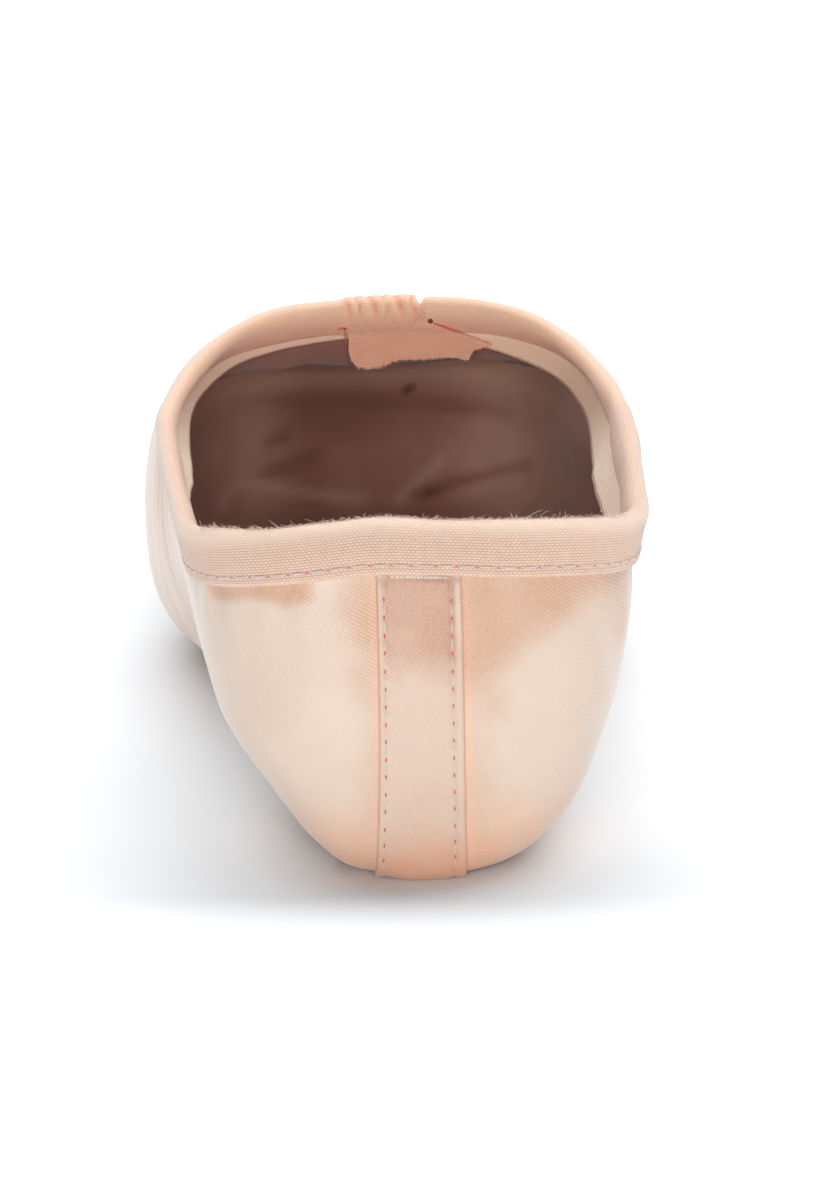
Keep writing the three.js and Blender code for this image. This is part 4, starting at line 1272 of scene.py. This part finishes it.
x, y, from_rim = plate_places(INSOLE_ENDS, lambda v: INSOLE_REACH)
insole_z = inside_floor(x, y) + INSOLE_THICKNESS
for crease in INSOLE_CREASES:
    turn = math.radians(crease["turn"])
    dx, dy = x - crease["x"], y - crease["y"]
    along = dx * math.cos(turn) + dy * math.sin(turn)
    off = dy * math.cos(turn) - dx * math.sin(turn) - crease["bow"] * along ** 2
    fade = np.exp(-(off / INSOLE_CREASE_WIDTH) ** 2 - (along / crease["long"]) ** 4)
    insole_z = insole_z + crease["depth"] * fade
insole_top = np.stack([x, y - MIDDLE, insole_z], -1)
insole_top[..., 2] += 0.15 * ripple(insole_top, 17, 71)
insole_top[..., 2] -= INSOLE_EDGE["drop"] * (1 - ease(from_rim / INSOLE_EDGE["round"]))
insole_bottom = np.stack([x, y - MIDDLE, inside_floor(x, y)], -1)
insole_uv = np.stack([x, y], -1)
insole = add_shell("insole_cloth", insole_bottom, insole_top, insole_uv, LINING,
                   tone=np.full(x.shape, INSOLE_PAINTED_SHADE))
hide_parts("insole")


def sole_margin(y):
    return lerp(SOLE_MARGIN["heel"], SOLE_MARGIN["ball"], ease((y - HEEL_FAN["at"]) / HEEL_FAN["at"] / 2))


SOLE_ROUND = 0.7
x, y, from_rim = plate_places(SOLE_ENDS, sole_margin)
inward = np.clip(1 - from_rim / SOLE_ROUND, 0, 1)
rim_rise = SOLE_ROUND * (1 - np.sqrt(1 - inward ** 2))
sole_top_z = np.minimum(underside_height(y) - SEAT_GAP * 0.6, tread_height(y) + SOLE_THICKNESS)
sole_low_z = np.minimum(tread_height(y) + rim_rise, sole_top_z - 0.1)
sole_bottom = np.stack([x, y - MIDDLE, sole_low_z], -1)
sole_top = np.stack([x, y - MIDDLE, sole_top_z], -1)
outsole = add_shell("outsole_leather", sole_bottom, sole_top, np.stack([x, y], -1), LEATHER)
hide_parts("outsole")


# Loose fibres along the worn top of the binding

FIBRES = {"halo": 2200, "long": 110, "rest": 120, "length": 0.32, "long_length": 0.56, "radius": 0.026}
HEEL_EDGE_HALF = 36
crown_top = tape_face[:, len(LEG_DEPTHS) + CROWN_STEPS // 2 - 1]
fibre_rng = np.random.default_rng(83)
where = np.concatenate([
    fibre_rng.uniform(-HEEL_EDGE_HALF, HEEL_EDGE_HALF, FIBRES["halo"] + FIBRES["long"]),
    fibre_rng.uniform(0, collar_run[-1], FIBRES["rest"]),
])
usual = np.full(len(where), FIBRES["length"])
usual[:FIBRES["long"]] = FIBRES["long_length"]
fibres = []
for run, size in zip(where, usual):
    at = np.array([run])
    up = unit(along_collar(edge_up, at)[0])
    out = unit(along_collar(edge_normal, at)[0])
    tangent = np.cross(up, out)
    start = along_collar(crown_top, at)[0] + out * fibre_rng.normal(0, 0.5) - up * 0.12
    length = size * fibre_rng.gamma(2.5, 0.4)
    sideways = tangent * fibre_rng.normal(0, 0.6) + out * fibre_rng.normal(0, 0.4)
    curl = tangent * fibre_rng.normal(0, 0.7) - up * fibre_rng.uniform(0, 0.5)
    share = np.linspace(0, 1, 6)[:, None]
    fibres.append(start + length * ((up + 0.7 * sideways) * share + curl * share ** 2))
add_tubes("rim_fibres", fibres, [FIBRES["radius"]] * len(fibres), FUZZ, sides=3)


# Floor, light and camera

def aim(made, direction):
    made.rotation_mode = "QUATERNION"
    made.rotation_quaternion = Vector(direction).to_track_quat("-Z", "Y")


def add_light(name, at, target, size, watts):
    data = bpy.data.lights.new(name, "AREA")
    data.shape = "RECTANGLE"
    data.size, data.size_y = size
    data.energy = watts
    made = bpy.data.objects.new(name, data)
    made.location = at
    aim(made, np.asarray(target) - np.asarray(at))
    bpy.context.scene.collection.objects.link(made)


FLOOR_HALF = 4
FLOOR_COLOUR = (0.905, 0.955, 1.0, 1)
WORLD_STRENGTH = 0.02
floor_mesh = bpy.data.meshes.new("floor")
corners = [(-1, -1), (1, -1), (1, 1), (-1, 1)]
floor_mesh.from_pydata([(x * FLOOR_HALF, y * FLOOR_HALF, 0) for x, y in corners], [], [(0, 1, 2, 3)])
floor = bpy.data.objects.new("floor", floor_mesh)
bpy.context.scene.collection.objects.link(floor)
floor_material, floor_tree, floor_shader = new_material("floor", Roughness=0.9, Specular_IOR_Level=0.1)
floor_shader.inputs["Base Color"].default_value = FLOOR_COLOUR
floor_mesh.materials.append(floor_material)

scene = bpy.context.scene
world = bpy.data.worlds.new("studio")
world.use_nodes = True
world.node_tree.nodes["Background"].inputs["Color"].default_value = (1, 1, 1, 1)
world.node_tree.nodes["Background"].inputs["Strength"].default_value = WORLD_STRENGTH
scene.world = world
scene.view_settings.view_transform = "Standard"
add_light("overhead", at=(0.1, 0.6, 1.5), target=(0, 0, 0), size=(3.2, 1.0), watts=58)
add_light("front", at=(-0.2, -2.2, 0.46), target=(0, 0, 0.03), size=(1.3, 0.8), watts=31.5)
add_light("right", at=(1.3, -0.5, 0.6), target=(0, -0.05, 0.03), size=(0.9, 0.9), watts=2)

LOOK_AT = np.array([0.00035, -0.060, 0.0313])
CAMERA = {"distance": 1.3126, "elevation": 13.16, "azimuth": -1.9, "roll": 1.5, "lens": 254}
camera_data = bpy.data.cameras.new("camera")
camera_data.lens = CAMERA["lens"]
camera_data.sensor_width = 36
camera_data.clip_end = 50
camera = bpy.data.objects.new("camera", camera_data)
scene.collection.objects.link(camera)
elevation, azimuth = math.radians(CAMERA["elevation"]), math.radians(CAMERA["azimuth"])
level = math.cos(elevation)
back = np.array([math.sin(azimuth) * level, -math.cos(azimuth) * level, math.sin(elevation)])
camera.location = LOOK_AT + back * CAMERA["distance"]
aim(camera, -back)
camera.rotation_quaternion @= Quaternion((0, 0, 1), -math.radians(CAMERA["roll"]))
scene.camera = camera
